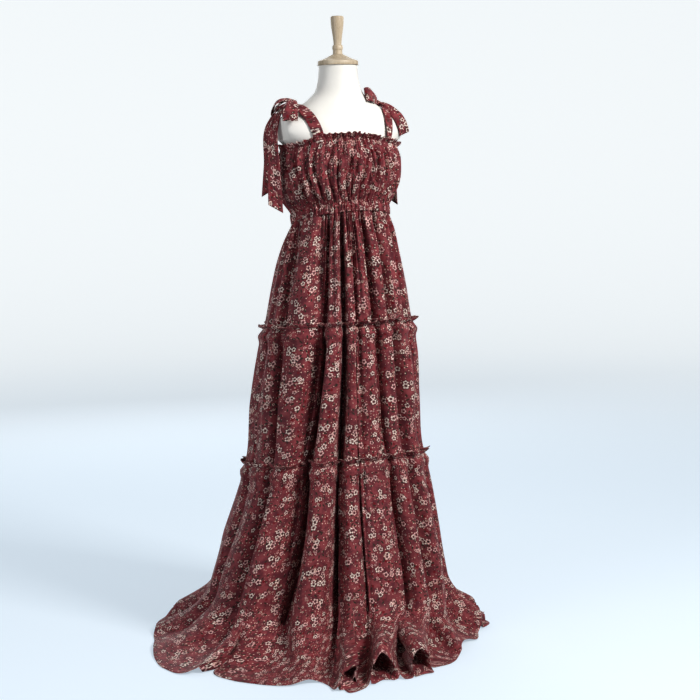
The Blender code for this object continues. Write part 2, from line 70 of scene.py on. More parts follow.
# Skirt sections: level, left, right, front, back radius, tilt
SKIRT = np.array((
    (1.063, 0.126, 0.126, 0.112, 0.112, 0.024),
    (1.015, 0.142, 0.140, 0.128, 0.150, 0.021),
    (0.905, 0.168, 0.161, 0.144, 0.188, 0.015),
    (0.774, 0.195, 0.178, 0.158, 0.215, 0.014),
    (0.730, 0.204, 0.182, 0.163, 0.223, 0.015),
    (0.600, 0.226, 0.187, 0.168, 0.249, 0.018),
    (0.490, 0.236, 0.193, 0.174, 0.260, 0.022),
    (0.430, 0.249, 0.203, 0.184, 0.274, 0.022),
    (0.370, 0.262, 0.214, 0.194, 0.290, 0.014),
    (0.250, 0.302, 0.234, 0.212, 0.333, 0.006),
    (0.122, 0.341, 0.256, 0.232, 0.375, 0.000),
))
print("skirt sections", len(SKIRT))

# %% [markdown]
# ## Helpers that everything uses
#
# A cloth surface is a grid of points: rows run down the cloth and columns run around the
# body. Smooth curves through a few table rows are cubic, with the slope at each row taken
# from its neighbours, so that the cloth has no kinks between the sections of the table.


# %% Smooth curve through table rows
def cubic(t, first, last, leave, arrive):
    """The cubic from first at t = 0 to last at t = 1, whose slopes there are leave and
    arrive."""
    return ((1 + 2 * t) * (1 - t) ** 2 * first + t * (1 - t) ** 2 * leave
            + t ** 2 * (3 - 2 * t) * last + t ** 2 * (t - 1) * arrive)


def smooth(x, places, values):
    """Cubic through (places, values), places rising. The slope at each row is the mean of
    the slopes on its two sides, and is zero where the values turn, so it never overshoots."""
    x = np.asarray(x, float)
    places = np.asarray(places, float)
    values = np.asarray(values, float)
    step = np.diff(places)
    rise = np.diff(values) / step
    slope = np.concatenate([rise[:1], (rise[1:] + rise[:-1]) / 2, rise[-1:]])
    turning = np.concatenate([[False], rise[1:] * rise[:-1] <= 0, [False]])
    slope = np.where(turning, 0.0, slope)
    k = np.clip(np.searchsorted(places, x, side="right") - 1, 0, len(step) - 1)
    t = np.clip((x - places[k]) / step[k], 0.0, 1.0)
    return cubic(t, values[k], values[k + 1], step[k] * slope[k], step[k] * slope[k + 1])


def oval(angle, left, right, front, back):
    """Radius of an oval made of four quarter ellipses, at angles in degrees."""
    s = np.sin(np.radians(angle))
    c = np.cos(np.radians(angle))
    across = np.where(s > 0, right, left)
    deep = np.where(c > 0, front, back)
    return 1.0 / np.sqrt((s / across) ** 2 + (c / deep) ** 2)


def around(angle, radius, height):
    """Points at an angle in degrees from the front, a radius and a height."""
    a = np.radians(angle)
    return np.stack([radius * np.sin(a), -radius * np.cos(a), height + 0 * a], axis=-1)


def unit(v):
    """The same directions with length one."""
    v = np.asarray(v, float)
    return v / np.maximum(np.linalg.norm(v, axis=-1, keepdims=True), 1e-12)


def outward(grid):
    """Unit normals of a closed grid: down the rows crossed with along the columns."""
    along = np.roll(grid, -1, axis=1) - np.roll(grid, 1, axis=1)
    down = np.gradient(grid, axis=0)
    return unit(np.cross(down, along))


def away(grid):
    """Mostly straight out from the axis and a little along the slope, so that cloth moved
    this way in a narrow valley does not cross itself."""
    return unit(unit(grid * (1, 1, 0)) + 0.35 * outward(grid))


def ripple_field(rows, columns, down, cells, seed):
    """Smooth uneven waves, about -1 to 1: seeded random heights at `down` by `cells`
    points, joined by cosine curves both ways, and closed around the body."""
    heights = np.random.default_rng(seed).uniform(-1, 1, (down + 1, cells))
    x = np.arange(columns) / columns * cells
    i = np.floor(x).astype(int) % cells
    fx = 0.5 - 0.5 * np.cos(np.pi * (x - np.floor(x)))
    y = np.linspace(0, down, rows, endpoint=False)
    j = np.floor(y).astype(int)
    fy = (0.5 - 0.5 * np.cos(np.pi * (y - j)))[:, None]
    top = heights[j][:, i] * (1 - fx) + heights[j][:, (i + 1) % cells] * fx
    low = heights[j + 1][:, i] * (1 - fx) + heights[j + 1][:, (i + 1) % cells] * fx
    return top * (1 - fy) + low * fy


# %% Grid to mesh
UV_STRETCH = 40            # columns between two places where u is fixed


def cloth_uv(grid, closed, reference):
    """Cloth coordinates in metres. v is the length down the columns, averaged over the
    neighbouring ones. u runs along the rows: within each stretch of columns it follows the
    row's own length, and the stretches start where the reference row puts them, so the
    print squeezes into the gathers without shearing."""
    full = np.concatenate([grid, grid[:, :1]], axis=1) if closed else grid
    widths = np.linalg.norm(np.diff(full, axis=1), axis=2)
    columns = widths.shape[1]
    run = np.concatenate([np.zeros((len(grid), 1)), np.cumsum(widths, axis=1)], axis=1)
    stretch = UV_STRETCH if closed and columns % UV_STRETCH == 0 else columns
    starts = np.arange(0, columns + 1, stretch)
    line = run[reference]
    k = np.minimum(np.arange(columns + 1) // stretch, len(starts) - 2)
    low, high = run[:, starts[k]], run[:, starts[k + 1]]
    u = line[starts[k]] + (line[starts[k + 1]] - line[starts[k]]) * (run - low) / (high - low)
    steps = np.linalg.norm(np.diff(full, axis=0), axis=2)
    if closed:
        spread = np.arange(-UV_STRETCH // 2, UV_STRETCH // 2 + 1)
        steps = np.mean([np.roll(steps[:, :-1], n, axis=1) for n in spread], axis=0)
        steps = np.concatenate([steps, steps[:, :1]], axis=1)
    v = np.concatenate([np.zeros((1, columns + 1)), np.cumsum(steps, axis=0)])
    return np.stack([u, -v], axis=-1)


def quads(rows, columns, closed):
    """The four corner numbers of each face of a grid, and the row and the column where
    the face starts. A closed grid joins its last column to its first."""
    last = columns if closed else columns - 1
    i, j = np.meshgrid(np.arange(rows - 1), np.arange(last), indexing="ij")
    k = (j + 1) % columns
    faces = np.stack([i * columns + j, (i + 1) * columns + j,
                      (i + 1) * columns + k, i * columns + k], axis=-1).reshape(-1, 4)
    return faces, i, j


def with_ends(rows, columns):
    """The faces of a closed grid, with one more over its first row and one over its last."""
    last = (rows - 1) * columns
    return [tuple(face) for face in quads(rows, columns, True)[0]] + [
        tuple(range(columns)), tuple(range(last + columns - 1, last - 1, -1))]


def add_sheet(name, grid, looks, closed=False, reference=-1, wall=CLOTH):
    """A cloth piece from a grid of outer points: quads, a UV map "cloth" in metres and a
    Solidify wall inward, whose inner side and edges take the second and third material."""
    rows, columns = grid.shape[:2]
    uv = cloth_uv(grid, closed, reference)
    faces, i, j = quads(rows, columns, closed)
    corner = np.stack([uv[i, j], uv[i + 1, j], uv[i + 1, j + 1], uv[i, j + 1]], axis=2)
    mesh = bpy.data.meshes.new(name)
    mesh.from_pydata(grid.reshape(-1, 3), [], faces)
    layer = mesh.uv_layers.new(name="cloth")
    layer.data.foreach_set("uv", corner.reshape(-1).astype(np.float32))
    mesh.shade_smooth()
    for look in looks:
        mesh.materials.append(look)
    piece = bpy.data.objects.new(name, mesh)
    bpy.context.scene.collection.objects.link(piece)
    if wall:
        solid = piece.modifiers.new("Wall", "SOLIDIFY")
        solid.thickness = wall
        solid.offset = -1.0
        solid.material_offset = 1 if len(looks) > 1 else 0
        solid.material_offset_rim = 2 if len(looks) > 2 else 0
    print(f"{name}: {rows} x {columns} points")
    return piece


# %% [markdown]
# ## The printed crepe
#
# The cloth has a deep red ground with a small all-over flower print: little open flowers
# of five pale petals in twos and threes, cream dots, darker red dots and dark leaves. A
# photograph of cloth could be used as a texture, but such a print is better grown from a
# few rules in the cloth's own flat coordinates: it stays sharp, it follows every fold and
# it squeezes into the gathers as real printed cloth does.
#
# Each layer scatters its motifs with a cell texture. A cell gives the place of its middle
# and three random numbers, which set a motif's size and turn and whether it is there at
# all. A flower's edge is a circle that swells five times around, and its petals are the
# ring between that edge and a dark heart.

# %% Node helpers


def linear(red, green, blue):
    """Scene-linear colour from display values of 0 to 255."""
    c = np.array((red, green, blue)) / 255.0
    c = np.where(c <= 0.04045, c / 12.92, ((c + 0.055) / 1.055) ** 2.4)
    return (float(c[0]), float(c[1]), float(c[2]), 1.0)


def new_material(name):
    """A material with its node tree, and its Principled shader."""
    made = bpy.data.materials.new(name)
    made.use_nodes = True
    return made, made.node_tree, made.node_tree.nodes["Principled BSDF"]


def feed(tree, socket, value):
    """Puts a link or a constant into a socket."""
    if isinstance(value, bpy.types.NodeSocket):
        tree.links.new(value, socket)
    else:
        socket.default_value = value


def maths(tree, operation, *values):
    """One Math node; values are numbers or outputs of other nodes."""
    node = tree.nodes.new("ShaderNodeMath")
    node.operation = operation
    for socket, value in zip(node.inputs, values):
        feed(tree, socket, value)
    return node.outputs["Value"]


def vector_maths(tree, operation, *values):
    """One Vector Math node, giving its vector, or its number for a length."""
    node = tree.nodes.new("ShaderNodeVectorMath")
    node.operation = operation
    for socket, value in zip(node.inputs, values):
        feed(tree, socket, value)
    return node.outputs["Value" if operation == "LENGTH" else "Vector"]


def fade(tree, value, start, end, low=0.0, high=1.0):
    """A smooth step from low at start to high at end."""
    node = tree.nodes.new("ShaderNodeMapRange")
    node.interpolation_type = "SMOOTHSTEP"
    for socket, each in zip(node.inputs, (value, start, end, low, high)):
        feed(tree, socket, each)
    return node.outputs["Result"]


def mix(tree, share, first, second):
    """A mix of two colours, or of a colour and a link, by a share."""
    node = tree.nodes.new("ShaderNodeMix")
    node.data_type = "RGBA"
    feed(tree, node.inputs["Factor"], share)
    feed(tree, node.inputs["A"], first)
    feed(tree, node.inputs["B"], second)
    return node.outputs["Result"]


def bumpy(tree, shader, height, strength, distance):
    """Gives a shader a fine relief: a height, through a Bump node, into its normal."""
    bump = tree.nodes.new("ShaderNodeBump")
    bump.inputs["Strength"].default_value = strength
    bump.inputs["Distance"].default_value = distance
    feed(tree, bump.inputs["Height"], height)
    feed(tree, shader.inputs["Normal"], bump.outputs["Normal"])


def noise(tree, vector, scale, detail=2.0, roughness=0.5):
    """A noise value of 0 to 1 at a scale per metre."""
    node = tree.nodes.new("ShaderNodeTexNoise")
    feed(tree, node.inputs["Vector"], vector)
    node.inputs["Scale"].default_value = scale
    node.inputs["Detail"].default_value = detail
    node.inputs["Roughness"].default_value = roughness
    return node.outputs["Fac"]


# %% Scattered motifs
GROUP = 0.040              # metres of cloth from one group of flowers to the next


def scatter(tree, cloth, size, seed, randomness=0.85):
    """Cells of about `size` metres. Gives the way from the cell's middle, the middle, and
    three random numbers of the cell."""
    moved = vector_maths(tree, "ADD", cloth, (seed * 1.37, seed * 2.11, 0.0))
    node = tree.nodes.new("ShaderNodeTexVoronoi")
    node.voronoi_dimensions = "2D"
    node.feature = "F1"
    feed(tree, node.inputs["Vector"], moved)
    node.inputs["Scale"].default_value = 1.0 / size
    node.inputs["Randomness"].default_value = randomness
    middle = node.outputs["Position"]
    off = vector_maths(tree, "SUBTRACT", moved, middle)
    draws = tree.nodes.new("ShaderNodeSeparateColor")
    feed(tree, draws.inputs[0], node.outputs["Color"])
    return off, middle, [draws.outputs[k] for k in range(3)]


def flowers(tree, cloth, size, seed, smallest, largest, group_reach):
    """Open flowers: petals, dark halo and a random tint. A flower is there where its own
    middle lies within group_reach of the middle of a larger cell, so that flowers come in
    small groups. The petal ring runs from 0.5 to 0.94 of the edge, and breaks between the
    petals, where the edge's five waves dip."""
    off, middle, draw = scatter(tree, cloth, size, seed)
    apart = tree.nodes.new("ShaderNodeSeparateXYZ")
    feed(tree, apart.inputs[0], off)
    turn = maths(tree, "ARCTAN2", apart.outputs["Y"], apart.outputs["X"])
    phase = maths(tree, "MULTIPLY", draw[0], 6.28)
    swell = maths(tree, "COSINE", maths(tree, "MULTIPLY_ADD", turn, 5.0, phase))
    radius = fade(tree, draw[1], 0.0, 1.0, smallest, largest)
    edge = maths(tree, "MULTIPLY", radius, maths(tree, "MULTIPLY_ADD", swell, 0.13, 0.87))
    ratio = maths(tree, "DIVIDE", vector_maths(tree, "LENGTH", off), edge)
    out_of_group, _, _ = scatter(tree, middle, GROUP, seed + 30, 0.75)
    there = maths(tree, "LESS_THAN", vector_maths(tree, "LENGTH", out_of_group), group_reach)
    ring = maths(tree, "MULTIPLY", fade(tree, ratio, 0.84, 1.04, 1.0, 0.0),
                 fade(tree, ratio, 0.42, 0.62))
    gap = fade(tree, swell, -1.0, -0.55, 0.15, 1.0)
    petals = maths(tree, "MULTIPLY", maths(tree, "MULTIPLY", ring, gap), there)
    halo = maths(tree, "MULTIPLY", fade(tree, ratio, 0.9, 1.9, 1.0, 0.0), there)
    return petals, halo, draw[0]


def dots(tree, cloth, size, seed, smallest, largest, share):
    """Round dots: full inside a random radius, for a share of the cells."""
    off, _, draw = scatter(tree, cloth, size, seed)
    radius = fade(tree, draw[1], 0.0, 1.0, smallest, largest)
    ratio = maths(tree, "DIVIDE", vector_maths(tree, "LENGTH", off), radius)
    return maths(tree, "MULTIPLY", fade(tree, ratio, 0.7, 1.15, 1.0, 0.0),
                 maths(tree, "GREATER_THAN", draw[0], 1.0 - share))


def leaves(tree, cloth, size, seed, long, wide, share):
    """Small leaves: an ellipse turned by a random angle, for a share of the cells."""
    off, _, draw = scatter(tree, cloth, size, seed)
    turn = tree.nodes.new("ShaderNodeVectorRotate")
    turn.rotation_type = "Z_AXIS"
    feed(tree, turn.inputs["Vector"], off)
    feed(tree, turn.inputs["Angle"], maths(tree, "MULTIPLY", draw[1], 6.28))
    flat = vector_maths(tree, "DIVIDE", turn.outputs["Vector"], (long, wide, 1.0))
    inside = fade(tree, vector_maths(tree, "LENGTH", flat), 0.7, 1.1, 1.0, 0.0)
    return maths(tree, "MULTIPLY", inside, maths(tree, "GREATER_THAN", draw[0], 1.0 - share))


# %% The whole print
def print_group():
    """Lays ground, leaves, red dots, flowers, buds and cream dots over each other, on
    cloth coordinates that a noise shifts by up to 2 mm, so that no outline is exact."""
    tree = bpy.data.node_groups.new("flower_print", "ShaderNodeTree")
    tree.interface.new_socket("Cloth", in_out="INPUT", socket_type="NodeSocketVector")
    tree.interface.new_socket("Colour", in_out="OUTPUT", socket_type="NodeSocketColor")
    enter = tree.nodes.new("NodeGroupInput")
    leave = tree.nodes.new("NodeGroupOutput")
    wander = tree.nodes.new("ShaderNodeTexNoise")
    feed(tree, wander.inputs["Vector"], enter.outputs["Cloth"])
    wander.inputs["Scale"].default_value = 120.0
    shift = vector_maths(tree, "SCALE", vector_maths(
        tree, "SUBTRACT", wander.outputs["Color"], (0.5, 0.5, 0.5)))
    shift.node.inputs["Scale"].default_value = 0.0034
    cloth = vector_maths(tree, "ADD", enter.outputs["Cloth"], shift)
    petals, halo, tint = flowers(tree, cloth, 0.0152, 1, 0.0058, 0.0080, 0.0135)
    buds, bud_halo, bud_tint = flowers(tree, cloth, 0.0110, 7, 0.0024, 0.0038, 0.0090)
    tone = fade(tree, noise(tree, cloth, 42.0, 3.0, 0.65), 0.34, 0.66)
    colour = mix(tree, tone, GROUND_DEEP, GROUND)
    dark = maths(tree, "MAXIMUM", halo, maths(tree, "MULTIPLY", bud_halo, 0.6))
    colour = mix(tree, maths(tree, "MULTIPLY", dark, 0.70), colour, HALO)
    colour = mix(tree, leaves(tree, cloth, 0.0125, 3, 0.0050, 0.0021, 0.55), colour, LEAF)
    colour = mix(tree, dots(tree, cloth, 0.0250, 4, 0.0026, 0.0042, 0.60), colour, DARK_RED)
    petal_colour = mix(tree, fade(tree, tint, 0.3, 0.7), PETAL_PINK, PETAL_CREAM)
    worn = fade(tree, noise(tree, cloth, 420.0, 2.0, 0.7), 0.34, 0.56, 0.15, 1.0)
    colour = mix(tree, maths(tree, "MULTIPLY", petals, worn), colour, petal_colour)
    bud_colour = mix(tree, fade(tree, bud_tint, 0.3, 0.7), DOT_CREAM, PETAL_PINK)
    colour = mix(tree, maths(tree, "MULTIPLY", buds, 0.75), colour, bud_colour)
    specks = dots(tree, cloth, 0.0080, 5, 0.0007, 0.0015, 0.55)
    colour = mix(tree, maths(tree, "MULTIPLY", specks, 0.8), colour, DOT_CREAM)
    feed(tree, leave.inputs["Colour"], colour)
    return tree


# Colours of the print, as they look in even light
GROUND = linear(134, 59, 64)
GROUND_DEEP = linear(87, 33, 41)
HALO = linear(56, 28, 30)
LEAF = linear(42, 36, 28)
DARK_RED = linear(104, 10, 22)
PETAL_PINK = linear(240, 188, 184)
PETAL_CREAM = linear(252, 234, 222)
DOT_CREAM = linear(238, 202, 184)
PRINT = print_group()
print("print nodes", len(PRINT.nodes))


# %% Right side, wrong side and raw edge
def crepe_surface(tree, shader, cloth, strength):
    """Fine crepe: a fine grain plus a softer pucker, both noise, drive a small bump."""
    grain = noise(tree, cloth, 1500.0, 3.0, 0.65)
    pucker = noise(tree, cloth, 260.0, 2.0, 0.5)
    bumpy(tree, shader, maths(tree, "MULTIPLY_ADD", pucker, 0.6, grain), strength, 0.0006)


def cloth_vector(tree):
    """The piece's own cloth coordinates, in metres."""
    node = tree.nodes.new("ShaderNodeUVMap")
    node.uv_map = "cloth"
    return node.outputs["UV"]


def print_colour(tree, cloth):
    """The colour of the print at cloth coordinates."""
    group = tree.nodes.new("ShaderNodeGroup")
    group.node_tree = PRINT
    feed(tree, group.inputs["Cloth"], cloth)
    return group.outputs["Colour"]


def printed_crepe():
    """The right side: the print, a soft sheen and a matte crepe surface."""
    made, tree, shader = new_material("printed_crepe")
    cloth = cloth_vector(tree)
    feed(tree, shader.inputs["Base Color"], print_colour(tree, cloth))
    rough = fade(tree, noise(tree, cloth, 40.0), 0.3, 0.7, 0.66, 0.78)
    feed(tree, shader.inputs["Roughness"], rough)
    shader.inputs["Sheen Weight"].default_value = 0.06
    shader.inputs["Sheen Roughness"].default_value = 0.45
    shader.inputs["Sheen Tint"].default_value = (1.0, 0.78, 0.78, 1.0)
    shader.inputs["Specular IOR Level"].default_value = 0.22
    crepe_surface(tree, shader, cloth, 0.35)
    return made


def wrong_side():
    """The inside of the cloth: greyish pink, with the print showing through."""
    made, tree, shader = new_material("crepe_wrong_side")
    cloth = cloth_vector(tree)
    colour = mix(tree, 0.55, linear(138, 104, 106), print_colour(tree, cloth))
    feed(tree, shader.inputs["Base Color"], colour)
    shader.inputs["Roughness"].default_value = 0.85
    crepe_surface(tree, shader, cloth, 0.3)
    return made


def raw_edge():
    """The cut or rolled edge: mostly ground colour, pale where the weave shows."""
    made, tree, shader = new_material("crepe_edge")
    cloth = cloth_vector(tree)
    patch = fade(tree, noise(tree, cloth, 160.0, 2.0), 0.45, 0.6)
    feed(tree, shader.inputs["Base Color"],
         mix(tree, patch, linear(96, 40, 44), linear(206, 176, 164)))
    shader.inputs["Roughness"].default_value = 0.9
    return made


LOOKS = (printed_crepe(), wrong_side(), raw_edge())
TIE_LOOKS = (LOOKS[0], LOOKS[0], LOOKS[0])

# %% [markdown]
# ## The size of the form
#
# The cloth may touch the form but not pass through it, so the form's sections come first.
# A dress form is a moulded shell, and a table of widths and depths at a few heights, with
# smooth curves between them, holds its shape.

# %% Form sections: height, half width, front depth, back depth, limit of the half width
FORM = np.array((
    (0.700, 0.112, 0.086, 0.094, 0.240),
    (0.712, 0.122, 0.094, 0.104, 0.240),
    (0.800, 0.134, 0.100, 0.114, 0.240),
    (0.880, 0.130, 0.098, 0.112, 0.240),
    (0.960, 0.119, 0.093, 0.103, 0.240),
    (1.040, 0.110, 0.089, 0.094, 0.240),
    (1.085, 0.112, 0.092, 0.094, 0.240),
    (1.130, 0.128, 0.105, 0.098, 0.240),
    (1.175, 0.142, 0.120, 0.101, 0.240),
    (1.210, 0.146, 0.116, 0.102, 0.240),
    (1.236, 0.147, 0.107, 0.102, 0.240),
    (1.250, 0.151, 0.104, 0.101, 0.240),
    (1.262, 0.166, 0.101, 0.100, 0.162),
    (1.285, 0.180, 0.094, 0.096, 0.166),
    (1.310, 0.174, 0.082, 0.088, 0.166),
    (1.328, 0.142, 0.072, 0.080, 0.166),
    (1.342, 0.116, 0.065, 0.073, 0.240),
    (1.358, 0.088, 0.060, 0.066, 0.240),
    (1.378, 0.064, 0.055, 0.058, 0.240),
    (1.405, 0.053, 0.051, 0.052, 0.240),
    (1.447, 0.0485, 0.0485, 0.0485, 0.240),
))


def form_sections(height):
    """Half width, front depth, back depth and width limit of the form at heights."""
    return [smooth(height, FORM[:, 0], FORM[:, k]) for k in range(1, 4)] + [
        np.interp(height, FORM[:, 0], FORM[:, 4])]


def clear_of_form(grid, clear):
    """Points nearer to the axis than the form's oval at their height plus the clearance,
    moved straight out to that radius."""
    across, front, back, _ = form_sections(np.clip(grid[..., 2], FORM[0, 0], FORM[-1, 0]))
    angle = np.degrees(np.arctan2(grid[..., 0], -grid[..., 1]))
    least = oval(angle, across, across, front, back) + clear
    least = np.where(grid[..., 2] > FORM[0, 0] - 0.01, least, 0.0)
    radius = np.hypot(grid[..., 0], grid[..., 1])
    grow = np.maximum(least / radius, 1.0)[..., None]
    return grid * np.concatenate([grow, grow, np.ones_like(grow)], axis=-1)


# %% [markdown]
# ## The folds of the skirt
#
# Fifteen large folds run down the skirt, through all three tiers. Each has a valley and a
# ridge whose angles wander from the waist to the hem, and a depth in each tier. The ones in
# front follow the photograph, and the hidden ones have sizes and places of their own. A
# cloth simulation would also give folds, but not these ones; a short table of where each
# fold runs is easier to steer, and the cloth between valley and ridge comes from it.

# %% Fold table
# Angles of the valley, then of the ridge, at the waist, seam 1, seam 2 and the knee;
# then the depth in millimetres in tiers 1, 2 and 3, how far the ridge is pushed over
# toward the next valley (0 upright, 1 a sharp edge), and how wide the valley is
FOLDS = np.array((
    (-97, -102, -103, -106, -91, -93, -90, -96, 24, 36, 44, 0.1, 0.50),
    (-86, -85, -80, -84, -66, -66, -70, -76, 34, 52, 58, 0.2, 0.50),
    (-46, -48, -60, -66, -35, -35, -43, -50, 46, 92, 116, 0.2, 0.80),
    (-28, -28, -33, -34, -21, -20, -24, -25, 46, 66, 34, 0.2, 0.70),
    (-17, -16, -17, -15, -11, -7, -4, -2, 16, 14, 8, 0.3, 0.60),
    (-3, 2, 7, 10, 8, 12, 15, 19, 46, 78, 124, 0.2, 0.70),
    (19, 22, 28, 32, 28, 32, 38, 44, 48, 82, 66, 0.3, 0.80),
    (40, 44, 56, 62, 52, 56, 66, 73, 48, 70, 100, 0.3, 0.70),
    (64, 67, 80, 86, 75, 78, 90, 95, 36, 54, 60, 0.3, 0.56),
    (88, 90, 101, 104, 100, 102, 112, 115, 38, 56, 68, 0.3, 0.56),
    (114, 116, 124, 128, 128, 130, 138, 141, 38, 52, 58, 0.2, 0.52),
    (146, 146, 152, 152, 158, 159, 165, 166, 36, 58, 70, 0.4, 0.58),
    (172, 175, 177, 178, 184, 187, 190, 192, 40, 52, 60, 0.2, 0.54),
    (197, 199, 202, 205, 209, 211, 213, 217, 38, 56, 66, 0.3, 0.58),
    (223, 224, 227, 230, 242, 243, 242, 244, 34, 50, 58, 0.2, 0.52),
))
FOLD_LEVELS = (KNEE, SEAM_2, SEAM_1, WAIST)
STEPS = 40                 # columns in one fold
COLUMNS = len(FOLDS) * STEPS
FLANK = 0.11               # how far columns are drawn from the ridges into the valleys
EVEN = np.arange(STEPS) / STEPS
TURN = EVEN - FLANK * np.sin(2 * math.pi * EVEN)
print("large folds", len(FOLDS), "columns", COLUMNS)


# %% Angles and depths from the table
def fold_angles(level):
    """Angle of each column: from valley to ridge and on to the next valley, with the
    columns closer together in the valleys, where the cloth runs in and out."""
    level = np.atleast_1d(level)
    valley = np.stack([smooth(level, FOLD_LEVELS, row[3::-1]) for row in FOLDS], axis=1)
    ridge = np.stack([smooth(level, FOLD_LEVELS, row[7:3:-1]) for row in FOLDS], axis=1)
    following = np.concatenate([valley[:, 1:], valley[:, :1] + 360], axis=1)
    rise = valley[..., None] + (ridge - valley)[..., None] * 2 * TURN[:STEPS // 2]
    fall = ridge[..., None] + (following - ridge)[..., None] * (2 * TURN[STEPS // 2:] - 1)
    return np.concatenate([rise, fall], axis=2).reshape(len(level), -1)


def fold_depth(level):
    """Depth of each column's fold in metres: shallow at a gathered seam, full between."""
    level = np.atleast_1d(level)
    t1, t2, t3 = FOLDS[:, 8], FOLDS[:, 9], FOLDS[:, 10]
    places = np.array((KNEE, 0.25, 0.38, SEAM_2, 0.60, 0.73, SEAM_1, 0.90, 1.00, WAIST))
    depths = np.array((0.9 * t3, t3, 0.8 * t3, 0.6 * t2 + 0.1 * t3, t2, 0.9 * t2,
                       0.85 * t1, t1, 0.7 * t1, 0.16 * t1))
    each = np.stack([smooth(level, places, depths[:, k]) for k in range(len(FOLDS))], axis=1)
    return np.repeat(each, STEPS, axis=1) / 1000.0


def fold_profile(level):
    """0 in the valleys and 1 on the ridges. The sine of half a turn from valley to valley
    gives a round tube. Most of the depth comes from a smooth step of that sine, which makes
    a valley with steep walls and a floor, as wide as its row of the table says; lower down
    the walls lean more. A leaning fold is warped so that its ridge lies near the following
    valley."""
    turn = np.tile(TURN, len(FOLDS))
    lean = np.repeat(FOLDS[:, 11], STEPS)
    width = np.repeat(FOLDS[:, 12], STEPS)
    following = np.repeat(np.roll(FOLDS[:, 12], -1), STEPS)
    width = width + (following - width) * np.clip(2 * turn - 0.5, 0, 1)
    lower = np.clip((SEAM_2 - np.atleast_1d(level)) / 0.15, 0, 1)[:, None]
    tube = np.sin(math.pi * turn ** (1.0 + 0.8 * lean))
    floor_end = 0.14
    wall = np.clip((tube - floor_end) / (width + 0.22 * lower - floor_end), 0, 1)
    return 0.70 * wall ** 2 * (3 - 2 * wall) + 0.30 * tube ** 0.8


def body_grid(levels):
    """The hanging skirt's inner surface at levels: oval section plus folds."""
    rising = SKIRT[::-1]
    left, right, front, back, tilt = (
        smooth(levels, rising[:, 0], rising[:, k])[:, None] for k in range(1, 6))
    angle = fold_angles(levels)
    radius = oval(angle, left, right, front, back)
    depth = fold_depth(levels)
    radius = radius + 0.16 * depth - depth * (1.0 - fold_profile(levels))
    return around(angle, radius, np.asarray(levels)[:, None] + tilt * np.cos(np.radians(angle)))


# %% Gathers that start at a seam
def ridged(count, columns, seed, power):
    """Uneven folds around the body: about `count` rounded ridges with narrow valleys
    between, as one less a raised cosine, at spacings that wander. From 0 to 1."""
    draw = np.random.default_rng(seed)
    width = draw.uniform(0.55, 1.45, count)
    edge = np.append(0, np.cumsum(width)) / width.sum()
    x = np.arange(columns) / columns
    turn = np.interp(x, edge, np.arange(count + 1))
    height = draw.uniform(0.55, 1.0, count + 1)
    height[-1] = height[0]
    tall = np.interp(turn, np.arange(count + 1), height)
    return (1.0 - np.abs(np.cos(math.pi * turn)) ** power) * tall


def gathers(columns, below, groups, seed):
    """Uneven pleats: for each (count, depth, length) group, about that many rounded ridges
    with sharp valleys, whose depth falls off with the distance below the seam as a bell
    curve, and whose length differs from pleat to pleat."""
    below = np.asarray(below)[:, None]
    total = np.zeros((len(below), columns))
    for n, (count, depth, length) in enumerate(groups):
        wave = ridged(count, columns, seed + n, 2.2) - 0.72
        reach = length * (1.0 + 0.6 * ripple_field(1, columns, 1, count // 2, seed + 50 + n)[0])
        total += depth * wave * np.exp(-(np.maximum(below, 0) / reach) ** 2)
    return total


def frill_turn(columns, count, seed):
    """How far round its waves a frill has come at each column, in radians: steady steps
    with a smooth wander, so that no two waves are alike."""
    wander = ripple_field(1, columns, 1, count // 2, seed)[0]
    return 2 * math.pi * np.arange(columns) / columns * count + 1.6 * wander


def frill_rise(columns, count, seed):
    """The uneven wave of a standing frill, from 0 to 1."""
    size = 0.75 + 0.25 * ripple_field(1, columns, 1, count // 3, seed + 1)[0]
    return (0.5 + 0.5 * np.sin(frill_turn(columns, count, seed))) * size


# %% [markdown]
# ## The bodice
#
# The bodice is a tube of cloth pulled in by narrow elastic at the top edge and by a wider
# band under the bust. Between the two the cloth stands out over the bust in soft vertical
# gathers, and above the top elastic a few millimetres of cloth stand up as a tiny frill.
# It is one closed tube here, with its folds worked out around the body: a table of deep
# gathers over the bust, rounded ridges between them, and fine ridges at the elastic.

# %% Bodice sections: level, left, right, front, back radius
BODICE = np.array((
    (1.0655, 0.126, 0.126, 0.112, 0.112),
    (1.092, 0.132, 0.128, 0.113, 0.117),
    (1.115, 0.150, 0.140, 0.125, 0.129),
    (1.165, 0.160, 0.158, 0.137, 0.127),
    (1.208, 0.160, 0.159, 0.132, 0.120),
    (1.237, 0.156, 0.155, 0.117, 0.114),
    (1.245, 0.157, 0.156, 0.118, 0.115),
    (1.251, 0.160, 0.159, 0.121, 0.118),
))
TOP = 1.251                # upper edge of the tiny frill
FRILL_FOOT = 1.240         # where the frill starts
TOP_ELASTIC = 1.238        # stitching of the elastic at the top edge
BAND_EDGE = 1.0865         # upper edge of the elastic band under the bust
TOP_RISE = 0.027           # how much higher the top edge is across the front
BODICE_COLUMNS = 600
DEEPEST = 0.0145           # most that a deep gather of the bust goes in

